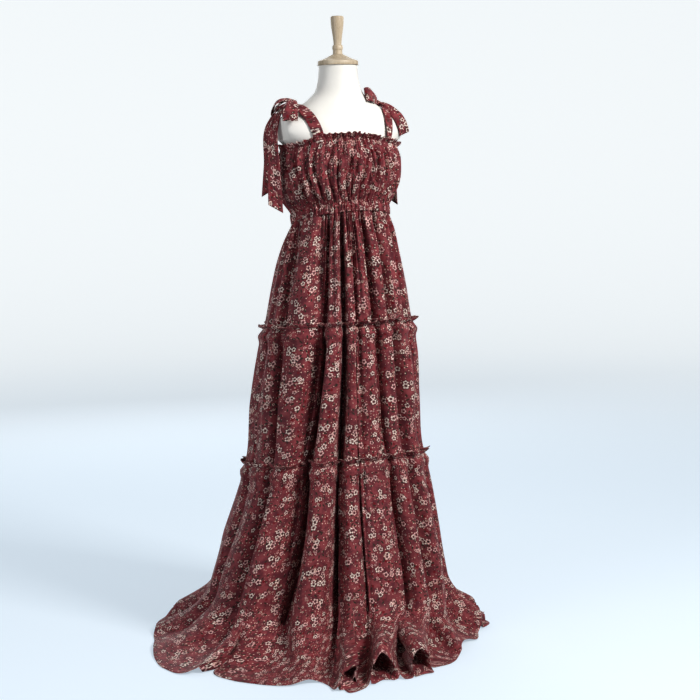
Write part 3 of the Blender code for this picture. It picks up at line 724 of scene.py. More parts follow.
# Deep gathers of the bust: angle, depth in mm and half width in degrees
BUST_FOLDS = np.array((
    (-86, 9, 2.4), (-70, 10, 2.0), (-59, 12, 2.4), (-50, 10, 1.8), (-36, 12, 2.2),
    (-27, 9, 1.8), (-17, 13, 2.2), (-11, 9, 1.6), (-2, 13, 2.0), (5, 8, 1.6), (12, 13, 2.0),
    (24, 10, 2.0), (33, 13, 2.2), (47, 10, 2.4), (60, 12, 2.4), (76, 9, 2.4), (94, 10, 2.8),
    (108, 8, 2.4), (122, 12, 2.6), (137, 9, 2.4), (149, 10, 2.4), (164, 12, 2.8),
    (177, 9, 2.2), (191, 12, 2.4), (204, 8, 2.4), (216, 12, 2.8), (231, 9, 2.4),
    (247, 10, 2.6), (260, 9, 2.4),
))


def bodice_grid():
    """Rows from the frill down to the waist elastic. The oval's radius loses each deep
    gather, a bell curve across whose line slants down the bust, and gains two rings of
    ridges: the middle ones everywhere and the fine ones mostly at the elastics."""
    levels = np.concatenate([np.linspace(TOP, 1.236, 12), np.linspace(1.233, 1.092, 44),
                             np.linspace(1.089, 1.0615, 16)])
    angle = np.linspace(-180, 180, BODICE_COLUMNS, endpoint=False)[None, :]
    left, right, front, back = (
        smooth(levels, BODICE[:, 0], BODICE[:, k])[:, None] for k in range(1, 5))
    radius = oval(angle, left, right, front, back)
    up = np.clip((levels - WAIST) / (TOP - WAIST), 0, 1)[:, None]
    rows = len(levels)
    swell = np.sin(np.pi * np.clip((levels - 1.080) / (1.243 - 1.080), 0, 1))[:, None]
    slant = 4.2 * np.sin(30.0 * levels[:, None] + np.radians(angle) * 3)
    deep = np.zeros((rows, BODICE_COLUMNS))
    for middle, depth, width in BUST_FOLDS:
        off = (angle + slant - middle + 180) % 360 - 180
        deep += depth * np.exp(-(off / width) ** 2)
    radius = radius - np.minimum(0.00125 * deep, DEEPEST) * swell ** 0.55 + 0.0022
    mid = ridged(58, BODICE_COLUMNS, 5, 2.8)[None, :]
    fine = ridged(150, BODICE_COLUMNS, 6, 3.0)[None, :]
    radius = radius + (mid - 0.7) * (0.0048 + 0.0008 * swell)
    radius = radius + (fine - 0.6) * (0.0042 - 0.0030 * swell)
    radius = radius + 0.0016 * swell * ripple_field(rows, BODICE_COLUMNS, 5, 60, 8)
    near = np.exp(-((levels - TOP_ELASTIC) / 0.0040) ** 2)[:, None]
    low = np.exp(-((levels - BAND_EDGE) / 0.006) ** 2)[:, None]
    radius = radius - 0.0024 * near - 0.0016 * low
    frill = np.clip((levels - FRILL_FOOT) / (TOP - FRILL_FOOT), 0, 1)[:, None]
    wave = frill_rise(BODICE_COLUMNS, 66, 9)[None, :]
    radius = radius + frill * (0.0090 * wave - 0.0020)
    front_rise = 0.5 + 0.5 * np.tanh((57 - np.abs(angle)) / 12)
    front_rise = front_rise * (1.0 - 0.6 * np.clip((angle + 5) / 50, 0, 1))
    tilt = 0.024 * (1 - up) ** 0.7 * np.cos(np.radians(angle))
    height = levels[:, None] + tilt + TOP_RISE * up ** 2 * front_rise
    height = height + frill * 0.0055 * (frill_rise(BODICE_COLUMNS, 52, 12)[None, :] - 0.5)
    return around(angle, radius + WALL, height)


grid = clear_of_form(bodice_grid(), 0.0028)
bodice = add_sheet("bodice_cloth", grid, LOOKS, closed=True, reference=30)
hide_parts("bodice_front", "bodice_back")

# %% [markdown]
# ## The three tiers
#
# Each tier is a closed tube. The upper edge of the second and of the third stands above
# the seam as a frill about as high as a finger is wide. A tier's own gathers start at its
# seam and run out at different lengths into the large folds. The upper tier runs on a
# little way under the lower one, as the real seam allowance does.

# %% Gathers of each tier: about how many, how deep and how long, in metres
GATHERS = {
    1: ((150, 0.0034, 0.020), (70, 0.0120, 0.100), (41, 0.0100, 0.34)),
    2: ((150, 0.0065, 0.024), (74, 0.0110, 0.080), (39, 0.0110, 0.30)),
    3: ((150, 0.0070, 0.026), (74, 0.0130, 0.090), (40, 0.0120, 0.32)),
}


def seam_ripple(levels, seam, seed):
    """Small waves of 1.6 mm around a tier's lower seam, where the next tier pulls at it."""
    near = np.exp(-((levels - seam) / 0.030) ** 2)[:, None]
    return near * 0.0016 * ripple_field(1, COLUMNS, 1, 110, seed)


# %% First tier
levels = np.concatenate([np.linspace(WAIST + SEAM_TUCK, 1.00, 26),
                         np.linspace(0.996, SEAM_1 - SEAM_TUCK, 44)])
grid = body_grid(np.minimum(levels, WAIST))
grid[..., 2] += np.maximum(levels - WAIST, 0)[:, None]
below = WAIST - levels
puckers = gathers(COLUMNS, below, GATHERS[1], 21) + seam_ripple(levels, SEAM_1, 27)
drift = 0.0022 * ripple_field(len(levels), COLUMNS, 4, 46, 29)
under = -0.0030 * np.clip(-below / 0.004, 0, 1)[:, None]
settle = np.clip(below / 0.03, 0, 1)[:, None]
grid = grid + away(grid) * (WALL + under + puckers * (0.4 + 0.6 * settle) + drift * settle)[..., None]
grid = clear_of_form(grid, 0.0035)
tier_1 = add_sheet("tier_1_cloth", grid, LOOKS, closed=True, reference=-6)
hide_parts("tier_1_front", "tier_1_back")


# %% Frill and gathers of a lower tier
FRILL_WAVES = 62           # waves of the standing frill around the dress
FRILL_LEAN = 0.0150        # how far its waves lean out, in metres
FRILL_SWAY = 0.0070        # how far they sway sideways
FRILL_FLOP = 0.0120        # how much further out it falls where it flops
FRILL_DROP = 0.0095        # and how far down
PUFF = 0.0080              # how far a tier puffs out just below its seam
PINCH = 0.0014             # how far the stitching pulls it in


def gathered_tier(levels, seam, lap, seed, drift_size, groups):
    """A lower tier's hanging grid: body surface, moved out by the lap, plus gathers below
    the seam, a pinch at the stitching with a puff just below it, and a frill above it.
    The frill leans out with its waves and sways sideways a quarter wave behind them, which
    rounds them into loops; here and there it flops further out and down."""
    grid = body_grid(levels)
    normal = away(grid)
    below = seam - levels
    puckers = gathers(COLUMNS, below, groups, seed)
    puckers = puckers * (below > -0.002)[:, None]
    puff = PUFF * np.exp(-((below - 0.018) / 0.012) ** 2)[:, None]
    pinch = -PINCH * np.exp(-(below / 0.0035) ** 2)[:, None]
    up = np.clip(-below / HEADING, 0, 1)[:, None]
    wave = frill_rise(COLUMNS, FRILL_WAVES, seed + 7)[None, :]
    soft = frill_rise(COLUMNS, FRILL_WAVES // 2, seed + 9)[None, :]
    flop = np.clip(ripple_field(1, COLUMNS, 1, 47, seed + 5)[0], 0, 1)[None, :] ** 1.5
    frill = up ** 0.8 * (0.0010 + FRILL_LEAN * wave + 0.0030 * soft + FRILL_FLOP * flop)
    drift = drift_size * ripple_field(len(levels), COLUMNS, 5, 48, seed + 3)
    drift = drift * np.clip(below / 0.05, 0, 1)[:, None]
    out = WALL + lap + np.maximum(puckers, -0.0018 - 0.02 * np.clip(below[:, None], 0, 1))
    grid = grid + normal * (out + puff + pinch + frill + drift)[..., None]
    side = unit(np.roll(grid, -1, axis=1) - np.roll(grid, 1, axis=1))
    sway = up * FRILL_SWAY * np.cos(frill_turn(COLUMNS, FRILL_WAVES, seed + 7))[None, :]
    uneven = 0.0050 * (frill_rise(COLUMNS, 52, seed + 11)[None, :] - 0.5)
    height = up * (uneven - FRILL_DROP * flop)
    grid = grid + side * sway[..., None]
    grid[..., 2] += height
    return grid


# %% Second tier
levels = np.concatenate([np.linspace(SEAM_1 + HEADING, SEAM_1 - 0.002, 9),
                         np.linspace(SEAM_1 - 0.005, 0.70, 24),
                         np.linspace(0.695, SEAM_2 - SEAM_TUCK, 44)])
grid = gathered_tier(levels, SEAM_1, LAP, 41, 0.0028, GATHERS[2])
grid = grid + away(grid) * seam_ripple(levels, SEAM_2, 49)[..., None]
grid = clear_of_form(grid, 0.0080)
tier_2 = add_sheet("tier_2_cloth", grid, LOOKS, closed=True, reference=-6)
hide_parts("tier_2_front", "tier_2_back")

# %% [markdown]
# The third tier is the longest. It hangs like the others down to the knee of the cloth,
# just above the floor, and then turns outward and lies there. Where a large fold comes
# down, the hem stands up as a small arch with a dark hollow under it; between the folds
# it lies flat. The hem is a short table of points around the dress, and the cloth between
# the knee and the hem follows a smooth curve that leaves the knee downward and reaches
# the hem lying outward.

# %% Hem table: place along the folds, angle, radius and height (mm above the floor)
HEM = np.array((
    (0.00, -108, 0.505, 2), (0.50, -98, 0.522, 8), (0.80, -89, 0.546, 3),
    (1.00, -81, 0.562, 2), (1.20, -74, 0.558, 5), (1.36, -71, 0.512, 20),
    (1.48, -70, 0.446, 27), (1.56, -73, 0.440, 8), (1.66, -69, 0.500, 2),
    (1.85, -61, 0.523, 2), (2.05, -54, 0.524, 2), (2.30, -45, 0.518, 4),
    (2.55, -40, 0.492, 12), (2.80, -37, 0.480, 4), (3.00, -34, 0.505, 2),
    (3.12, -32.0, 0.545, 8), (3.26, -29.5, 0.515, 36), (3.42, -26.0, 0.492, 46),
    (3.52, -27.5, 0.480, 10), (3.62, -30, 0.520, 2), (3.75, -28.5, 0.555, 2),
    (3.90, -26, 0.538, 2), (4.02, -23.8, 0.512, 5), (4.18, -21.6, 0.478, 38),
    (4.36, -18.6, 0.452, 58), (4.54, -15.8, 0.462, 36), (4.66, -13.4, 0.478, 6),
    (4.80, -11.2, 0.480, 2), (4.92, -9.8, 0.472, 8), (5.04, -9.2, 0.456, 36),
    (5.24, -6.0, 0.444, 56), (5.42, -2.6, 0.442, 34), (5.55, -1, 0.428, 4),
    (5.75, 4, 0.428, 2), (5.95, 9, 0.418, 2), (6.15, 15, 0.392, 3),
    (6.26, 17.6, 0.385, 12), (6.42, 20.0, 0.372, 16), (6.62, 25.0, 0.356, 17),
    (6.82, 32, 0.348, 10), (6.96, 37, 0.358, 3), (7.15, 47, 0.345, 3),
    (7.35, 52, 0.350, 16), (7.55, 60, 0.358, 30), (7.72, 66, 0.362, 14),
    (7.90, 69, 0.348, 3), (8.15, 78, 0.368, 14), (8.40, 84, 0.366, 32),
    (8.60, 90, 0.362, 4), (8.80, 95, 0.378, 24), (9.00, 101, 0.392, 3),
    (9.30, 109, 0.408, 20), (9.50, 113, 0.405, 44), (9.66, 117, 0.418, 14),
    (9.80, 121, 0.435, 3), (10.1, 127, 0.452, 2), (10.5, 141, 0.455, 20),
    (10.8, 150, 0.470, 3), (11.1, 158, 0.482, 2), (11.36, 165, 0.470, 16),
    (11.5, 168, 0.452, 52), (11.64, 172, 0.470, 14), (11.8, 176, 0.484, 3),
    (12.1, 183, 0.492, 2), (12.5, 194, 0.490, 16), (12.8, 202, 0.500, 3),
    (13.1, 209, 0.506, 2), (13.5, 220, 0.492, 30), (13.8, 228, 0.502, 3),
    (14.1, 234, 0.508, 2), (14.5, 243, 0.500, 16), (14.8, 249, 0.505, 3),
))
print("hem points", len(HEM))


def hem_row():
    """The hem's points for every column, from the table, closed around the dress."""
    place = np.arange(COLUMNS) / STEPS
    folds = len(FOLDS)
    low, high = HEM[-3:].copy(), HEM[:3].copy()
    low[:, 0] -= folds
    low[:, 1] -= 360
    high[:, 0] += folds
    high[:, 1] += 360
    table = np.concatenate([low, HEM, high])
    angle, radius, height = (smooth(place, table[:, 0], table[:, k]) for k in (1, 2, 3))
    return around(angle, radius, height / 1000)


def floor_grid(knee, before, rows):
    """From the knee to the hem: a cubic that leaves along the hanging cloth's slope and
    arrives lying outward, steeper where the hem stands up as an arch. In an arch the last
    rows turn under: back toward the body, down, and out again along the floor. So the fold
    ends as the open mouth of a tube, which is dark inside."""
    hem = hem_row()
    gap = np.linalg.norm(hem - knee, axis=1, keepdims=True)
    leave = unit(knee - before) * gap * 0.95
    flat = unit(hem * (1, 1, 0))
    arch = np.clip((hem[:, 2:] - 0.018) / 0.020, 0, 1)
    steep = np.clip(hem[:, 2:] / 0.045, 0, 1)
    arrive = unit(flat * (1.0 - 0.45 * steep) + np.array((0, 0, -1.0)) * steep * 0.75)
    arrive = arrive * gap * (0.85 - 0.25 * steep)
    share = np.linspace(0, 1, rows + 1)[1:, None, None]
    lip = 1.0 - 0.36 * arch
    t = np.clip(share / lip, 0, 1)
    made = cubic(t, knee, hem, leave, arrive)
    under = np.clip((share - lip) / np.maximum(1.0 - lip, 1e-6), 0, 1) * (arch > 0)
    turned = flat * arch * (0.020 * under ** 2 - 0.080 * np.sin(under * math.pi))
    drop = (hem[:, 2:] - 0.0030) * (0.5 - 0.5 * np.cos(under * math.pi))
    return made + turned - drop * np.array((0, 0, 1.0)), share[:, :, 0] * np.ones(COLUMNS)


# %% Third tier
LEAST_HEIGHT = 0.0022      # the cloth's upper face stays this far above the floor
levels = np.concatenate([np.linspace(SEAM_2 + HEADING, SEAM_2 - 0.002, 8),
                         np.linspace(SEAM_2 - 0.006, KNEE, 34)])
hanging = gathered_tier(levels, SEAM_2, 2 * LAP, 61, 0.0030, GATHERS[3])
spread, share = floor_grid(hanging[-1], hanging[-2], 34)
grid = np.concatenate([hanging, spread])
lying = ripple_field(len(spread), COLUMNS, 3, 44, 71) * 0.0045
lying = lying * np.sin(np.pi * np.clip(share, 0, 1)) ** 0.6
grid[len(hanging):] += outward(grid)[len(hanging):] * lying[..., None]
grid[..., 2] = np.maximum(grid[..., 2], LEAST_HEIGHT)
tier_3 = add_sheet("tier_3_cloth", grid, LOOKS, closed=True, reference=26)
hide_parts("tier_3_front", "tier_3_back")

# %% [markdown]
# ## The shoulder ties
#
# Each strap is a narrow tube of the same cloth, pressed flat. A front and a back one meet
# on each shoulder in a knot, and the ends make two loops and two tails. They could be
# simulated, but a bow is a shape that somebody made by hand, so it is modelled as bands
# carried along smooth paths, with soft creases that run out from the knot.


# %% Smooth paths and bands
def through(points, count):
    """A smooth curve through points at even steps: a cubic between each two, whose
    direction at a point is the mean change around it, measured by chord length."""
    points = np.asarray(points, float)
    place = np.append(0, np.cumsum(np.linalg.norm(np.diff(points, axis=0), axis=1)))
    slope = np.gradient(points, place, axis=0)
    x = np.linspace(0, place[-1], count)
    k = np.clip(np.searchsorted(place, x, side="right") - 1, 0, len(place) - 2)
    step = (place[k + 1] - place[k])[:, None]
    t = (x[:, None] - place[k][:, None]) / step
    return cubic(t, points[k], points[k + 1], step * slope[k], step * slope[k + 1])


def along_table(values, count):
    """A value or a vector that changes smoothly from end to end of a band."""
    values = np.asarray(values, float)
    flat = values.reshape(len(values), -1)
    even = np.linspace(0, 1, len(values))
    x = np.linspace(0, 1, count)
    out = np.stack([smooth(x, even, flat[:, k]) for k in range(flat.shape[1])], axis=1)
    return out.reshape((count,) + values.shape[1:])


def tie_grid(path, across, widths, creases, seed, curl=0.0, slant=0.0, rows=72, columns=13):
    """A tie: its middle line runs through path, its width lies along across. Creases are
    soft ridges that run lengthwise and wander; curl bends both edges to one side, and
    slant cuts the end at an angle, by moving its last rows on along one edge."""
    line = through(path, rows)
    side = unit(along_table(across, rows))
    wide = along_table(widths, rows)
    along = unit(np.gradient(line, axis=0))
    side = unit(side - along * np.sum(side * along, axis=1, keepdims=True))
    face = np.cross(along, side)
    if np.sum(face[rows // 2] * line[rows // 2] * (1, 1, 0)) < 0:
        side, face = -side, -face
        slant = -slant
    edge = np.linspace(-0.5, 0.5, columns)
    t = np.linspace(0, 1, rows)[:, None]
    draw = np.random.default_rng(seed)
    lift = curl * wide[:, None] * (edge[None, :] ** 2 - 0.08)
    for _ in range(creases):
        middle, sway, size = draw.uniform(-0.38, 0.38), draw.uniform(-0.2, 0.2), draw.uniform(0.4, 1.0)
        phase, reach = draw.uniform(0, 6.28), draw.uniform(0.3, 1.1)
        centre = middle + sway * np.sin(2.2 * t + phase)
        ridge = np.exp(-((edge[None, :] - centre) / 0.13) ** 2) * np.exp(-t / reach)
        lift = lift + 0.0016 * size * ridge
    ease = np.clip(np.minimum(t, 1 - t) * 8, 0, 1)
    grid = line[:, None] + side[:, None] * (wide[:, None] * edge)[..., None]
    grid = grid + face[:, None] * (lift * (0.3 + 0.7 * ease))[..., None]
    last = np.clip((t - 0.86) / 0.14, 0, 1)
    return grid + along[:, None] * (slant * edge[None, :] * last)[..., None]


def loop_grid(root, tip, puff, width, height=0.012, arch=0.0, pinch=0.0032, seed=0):
    """A bow's loop: a closed band whose section is an egg, narrow at the knot and rounded
    at the tip, arched upward, with creases that fan out from the knot."""
    turns, columns = 84, 17
    root, tip = np.asarray(root, float), np.asarray(tip, float)
    length = np.linalg.norm(tip - root)
    e1 = (tip - root) / length
    e2 = unit(np.asarray(puff, float) - np.dot(puff, e1) * e1)
    e3 = np.cross(e1, e2)
    turn = np.linspace(0, 2 * math.pi, turns, endpoint=False)
    x = length * (0.5 - 0.5 * np.cos(turn))
    share = x / length
    y = np.sin(turn) * (pinch + (height - pinch) * share ** 0.8) + arch * 4 * share * (1 - share)
    wide = width * (0.34 + 0.66 * np.minimum(1.0, 1.8 * share) ** 0.8)
    edge = np.linspace(-0.5, 0.5, columns)
    outer = np.stack([np.cos(turn + math.pi), np.sin(turn)], axis=1)
    draw = np.random.default_rng(seed)
    lift = np.zeros((columns, turns))
    for _ in range(4):
        middle, size, phase = draw.uniform(-0.4, 0.4), draw.uniform(0.5, 1.0), draw.uniform(0, 6.28)
        centre = middle + 0.08 * np.sin(turn + phase)
        lift += 0.0019 * size * np.exp(-((edge[:, None] - centre) / 0.11) ** 2) * (1.05 - share) ** 0.8
    lift = lift - 0.0030 * (2 * np.abs(edge[:, None])) ** 3 * np.sin(math.pi * share) ** 2
    centre = root + np.outer(x, e1) + np.outer(y, e2)
    grid = centre[None] + edge[:, None, None] * wide[None, :, None] * e3
    out = outer[:, :1] * e1 + outer[:, 1:] * e2
    return grid + lift[..., None] * out[None]


# %% Knots
KNOTS = {"right": (-0.127, 0.004, 1.3525), "left": (0.115, 0.004, 1.3520)}
KNOT_SIZE = (0.0100, 0.0095, 0.0085)


def at_knot(side, direction, clear=0.0003):
    """The point just off a knot in a direction from its middle."""
    way = unit(direction)
    reach = 1.0 / np.linalg.norm(way / np.array(KNOT_SIZE))
    return np.array(KNOTS[side]) + way * (reach + clear)


def knot_grid(side, lean, seed):
    """A closed ball of cloth: an ellipsoid whose radius swells along a band that wraps it
    and dips in two grooves beside the band, with small creases across."""
    rows, columns = 25, 48
    turn = np.linspace(0, 2 * math.pi, columns, endpoint=False)[None, :]
    fall = np.linspace(0.02, math.pi - 0.02, rows)[:, None]
    way = np.stack([np.sin(fall) * np.sin(turn), -np.sin(fall) * np.cos(turn),
                    np.cos(fall) + 0 * turn], axis=-1)
    axis = unit(lean)
    off_band = way @ axis
    around_band = np.arctan2(way @ unit(np.cross(axis, (0, 0, 1))), way @ np.array((0, 0, 1.0)))
    grooves = np.exp(-((np.abs(off_band) - 0.62) / 0.14) ** 2)
    size = 1.0 + 0.10 * np.exp(-(off_band / 0.42) ** 2) - 0.12 * grooves
    size = size + 0.025 * np.sin(9 * off_band + 1.5 * np.sin(around_band * 2 + seed))
    return np.array(KNOTS[side]) + way * size[..., None] * np.array(KNOT_SIZE) * 1.04


def add_ball(name, grid, looks):
    """A closed grid with its two ends filled by one face each, which are a fraction of a
    millimetre across."""
    rows, columns = grid.shape[:2]
    piece = add_sheet(name, grid, looks, closed=True, reference=rows // 2, wall=0.0)
    mesh = piece.data
    uv = np.empty(len(mesh.loops) * 2, np.float32)
    mesh.uv_layers["cloth"].data.foreach_get("uv", uv)
    mesh.clear_geometry()
    mesh.from_pydata(grid.reshape(-1, 3), [], with_ends(rows, columns))
    layer = mesh.uv_layers.new(name="cloth")
    both = np.concatenate([uv, np.zeros(4 * columns, np.float32)])
    layer.data.foreach_set("uv", both)
    mesh.shade_smooth()
    return piece


for side, lean, seed in (("right", (0.5, 1.0, 0.1), 1), ("left", (-0.4, 1.0, 0.2), 2)):
    knot = add_ball(f"knot_wrap_{side}", knot_grid(side, lean, seed), TIE_LOOKS)
    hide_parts(f"knot_{side}")

# %% [markdown]
# ## The form under the dress
#
# The stand is a limbless bust of smooth white plastic with a flat plate where each arm
# would start, a turned wooden cap on the neck and a turned wooden knob. The bust is a
# loft between ovals, each made of four quarter ellipses, with its sides cut off flat at
# the arm plates. The wooden pieces are profiles turned around the axis.

# %% The form as a closed grid
def form_grid(rows=150, columns=128):
    """The bust from the neck down. Where x is past its limit it is pulled back to it, which
    makes the flat arm plates; the soft form of that rule, soft x log(1 + exp(over / soft)),
    rounds the edge of each plate."""
    height = np.linspace(FORM[-1, 0], FORM[0, 0], rows)
    across, front, back, limit = (each[:, None] for each in form_sections(height))
    turn = np.linspace(0, 360, columns, endpoint=False)[None, :]
    ring = around(turn, oval(turn, across, across, front, back), height[:, None])
    x = ring[..., 0]
    soft = 0.0016
    over = np.abs(x) - limit
    ring[..., 0] = np.sign(x) * (np.abs(x) - np.where(over > -8 * soft, soft * np.log1p(
        np.exp(np.clip(over / soft, -30, 30))), 0.0))
    return ring


def add_closed(name, grid, look):
    """A loft closed by a flat face at each end."""
    rows, columns = grid.shape[:2]
    mesh = bpy.data.meshes.new(name)
    mesh.from_pydata(grid.reshape(-1, 3), [], with_ends(rows, columns))
    mesh.materials.append(look)
    mesh.shade_smooth()
    mesh.set_sharp_from_angle(angle=math.radians(40))
    piece = bpy.data.objects.new(name, mesh)
    bpy.context.scene.collection.objects.link(piece)
    print(f"{name}: {rows} x {columns} points")
    return piece


# %% Materials of the form
def object_vector(tree, scale=(1.0, 1.0, 1.0)):
    """The piece's own coordinates, in metres, scaled."""
    place = tree.nodes.new("ShaderNodeTexCoord")
    mapping = tree.nodes.new("ShaderNodeMapping")
    mapping.inputs["Scale"].default_value = scale
    feed(tree, mapping.inputs["Vector"], place.outputs["Object"])
    return mapping.outputs["Vector"]


def bust_plastic():
    """Warm white moulded plastic: faint mottling, satin gloss and a slight orange peel."""
    made, tree, shader = new_material("bust_plastic")
    where = object_vector(tree)
    tone = noise(tree, where, 9.0, 3.0, 0.55)
    colour = mix(tree, fade(tree, tone, 0.35, 0.65), linear(222, 220, 214), linear(229, 227, 222))
    speck = fade(tree, noise(tree, where, 900.0, 1.0), 0.66, 0.74, 0.0, 0.25)
    feed(tree, shader.inputs["Base Color"], mix(tree, speck, colour, linear(214, 212, 206)))
    feed(tree, shader.inputs["Roughness"], fade(tree, noise(tree, where, 26.0), 0.3, 0.7, 0.42, 0.55))
    shader.inputs["Specular IOR Level"].default_value = 0.4
    bumpy(tree, shader, noise(tree, where, 420.0, 2.0), 0.12, 0.0005)
    return made


def turned_beech():
    """Pale beech turned on a lathe: grain that runs up the piece, short dark pores and
    faint tool rings."""
    made, tree, shader = new_material("turned_beech")
    grain = noise(tree, object_vector(tree, (1.0, 1.0, 0.10)), 150.0, 4.0, 0.6)
    bands = noise(tree, object_vector(tree, (1.0, 0.35, 0.05)), 60.0, 2.0, 0.5)
    pores = fade(tree, noise(tree, object_vector(tree, (1.0, 1.0, 0.06)), 900.0, 1.0), 0.62, 0.70)
    colour = mix(tree, fade(tree, bands, 0.35, 0.65), linear(198, 185, 163), linear(178, 161, 136))
    colour = mix(tree, fade(tree, grain, 0.42, 0.72, 0.0, 0.5), colour, linear(152, 133, 106))
    colour = mix(tree, maths(tree, "MULTIPLY", pores, 0.5), colour, linear(118, 86, 58))
    feed(tree, shader.inputs["Base Color"], colour)
    feed(tree, shader.inputs["Roughness"], fade(tree, grain, 0.3, 0.7, 0.42, 0.56))
    rings = noise(tree, object_vector(tree, (0.02, 0.02, 1.0)), 1400.0, 1.0)
    height = maths(tree, "SUBTRACT", rings, maths(tree, "MULTIPLY", pores, 0.6))
    bumpy(tree, shader, height, 0.18, 0.0003)
    return made


def grey_paint():
    """Satin grey paint on the steel pole and base, with fine texture and scuffs."""
    made, tree, shader = new_material("grey_paint")
    where = object_vector(tree)
    scuff = fade(tree, noise(tree, where, 34.0, 4.0, 0.7), 0.56, 0.7, 0.0, 0.35)
    feed(tree, shader.inputs["Base Color"],
         mix(tree, scuff, linear(150, 150, 152), linear(112, 112, 114)))
    feed(tree, shader.inputs["Roughness"], fade(tree, noise(tree, where, 60.0), 0.3, 0.7, 0.38, 0.5))
    shader.inputs["Metallic"].default_value = 0.25
    bumpy(tree, shader, noise(tree, where, 800.0, 2.0), 0.2, 0.0003)
    return made


PLASTIC, BEECH, PAINT = bust_plastic(), turned_beech(), grey_paint()
bust = add_closed("bust_shell", form_grid(), PLASTIC)
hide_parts("form_torso")
for node in ("form_pole", "form_base"):
    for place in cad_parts[node].material_slots:
        place.material = PAINT


# %% Turned wood: radius and height along each outer profile, from the top down
CAP_PROFILE = ((0.0004, 1.4745), (0.0130, 1.4745), (0.0142, 1.4742), (0.0230, 1.4700),
               (0.0320, 1.4652), (0.0400, 1.4620), (0.0485, 1.4588), (0.0502, 1.4578),
               (0.0510, 1.4560), (0.0512, 1.4535), (0.0510, 1.4510), (0.0502, 1.4488),
               (0.0490, 1.4475), (0.0004, 1.4475))
KNOB_PROFILE = ((0.0004, 1.5700), (0.0100, 1.5698), (0.0140, 1.5690), (0.0160, 1.5675),
                (0.0166, 1.5655), (0.0165, 1.5620), (0.0160, 1.5500), (0.0149, 1.5400),
                (0.0135, 1.5300), (0.0118, 1.5180), (0.0106, 1.5080), (0.0101, 1.5020),
                (0.0102, 1.4990), (0.0113, 1.4975), (0.0126, 1.4960), (0.0134, 1.4915),
                (0.0133, 1.4885), (0.0126, 1.4858), (0.0118, 1.4845), (0.0122, 1.4748),
                (0.0004, 1.4748))


def turned_grid(profile, columns=96, steps=6):
    """A profile around the axis: each stretch of it is divided, curved through its points
    where it bends little and straight where it turns a corner."""
    profile = np.asarray(profile, float)
    place = np.arange(len(profile), dtype=float)
    x = np.linspace(0, place[-1], (len(profile) - 1) * steps + 1)
    radius = smooth(x, place, profile[:, 0])[:, None]
    height = smooth(x, place, profile[:, 1])[:, None]
    turn = np.linspace(0, 360, columns, endpoint=False)[None, :]
    return around(turn, radius + 0 * turn, height + 0 * turn)


for name, node, profile in (("cap_turned", "neck_cap", CAP_PROFILE),
                            ("knob_turned", "finial", KNOB_PROFILE)):
    wood = add_closed(name, turned_grid(profile), BEECH)
    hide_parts(node)


# %% Straps that lie on the form
TIE = 0.028                # width of the shoulder ties


def off_form(grid, clear):
    """Points nearer to the form than the clearance, moved out along its slope."""
    def field(q):
        """How far a point is out of the form's oval, measured along the depth."""
        across, front, back, _ = form_sections(q[..., 2])
        deep = np.where(q[..., 1] < 0, front, back)
        return (np.sqrt((q[..., 0] / across) ** 2 + (q[..., 1] / deep) ** 2) - 1.0) * deep
    step = 0.0005
    for _ in range(10):
        slope = np.stack([(field(grid + step * e) - field(grid - step * e)) / (2 * step)
                          for e in np.eye(3)], axis=-1)
        distance = field(grid) / np.linalg.norm(slope, axis=-1)
        grid = grid + unit(slope) * np.maximum(clear - distance, 0.0)[..., None]
    return grid


for side, s in (("right", -1.0), ("left", 1.0)):
    kx, ky, kz = KNOTS[side]
    foot = 0.101 if side == "right" else 0.0925    # from the middle to the sewn-on end
    grid = tie_grid(((s * foot, -0.0890, 1.252), (s * (foot + 0.006), -0.084, 1.280),
                     (s * (foot + 0.014), -0.064, 1.314), (kx, ky - 0.036, kz - 0.010),
                     at_knot(side, (0, -1, -0.35), -0.002)),
                    ((s, 0.95, 0), (s, 0.4, -0.2), (s, 0, -0.35)),
                    (TIE * 0.86, TIE, TIE, TIE * 0.85, TIE * 0.5), 4, 31 + int(s))
    front = add_sheet(f"tie_front_{side}", off_form(grid, 0.0020), TIE_LOOKS)
    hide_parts(f"strap_front_{side}")
    grid = tie_grid((at_knot(side, (0, 1, -0.35), -0.002), (kx, ky + 0.040, kz - 0.016),
                     (s * 0.106, 0.070, 1.310), (s * 0.096, 0.084, 1.275),
                     (s * 0.0898, 0.0855, 1.234)),
                    ((s, 0, -0.35), (s, -0.4, -0.2), (s, -0.95, 0)),
                    (TIE * 0.5, TIE * 0.85, TIE, TIE, TIE * 0.86), 4, 35 + int(s))
    back = add_sheet(f"tie_back_{side}", off_form(grid, 0.0020), TIE_LOOKS)
    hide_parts(f"strap_back_{side}")

# %% Loops: side, node, root direction, tip, puff, width, height, arch
LOOPS = (
    ("right", "loop_front_right", (-0.6, -0.8, 0.5), (-0.168, -0.058, 1.308),
     (-0.50, -0.80, 0.45), 0.037, 0.010, 0.012),
    ("right", "loop_back_right", (-0.3, 0.5, 0.8), (-0.160, 0.052, 1.328), (-0.5, 0.1, 0.8),
     0.032, 0.006, 0.014),
    ("left", "loop_inner_left", (-0.7, -0.7, 0.6), (0.052, -0.052, 1.374),
     (-0.40, -0.85, 0.30), 0.036, 0.012, 0.000),
    ("left", "loop_outer_left", (0.5, -0.75, 0.3), (0.156, -0.060, 1.274),
     (-0.10, -0.80, 0.65), 0.032, 0.011, 0.016),
)
for number, (side, node, way, tip, puff, width, height, arch) in enumerate(LOOPS):
    grid = loop_grid(at_knot(side, way, 0.0), tip, puff, width, height, arch, seed=40 + number)
    grid = off_form(grid, 0.0020)
    bow = add_sheet(node.replace("loop", "bow_loop"), grid, TIE_LOOKS, closed=True, reference=8)
    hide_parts(node)

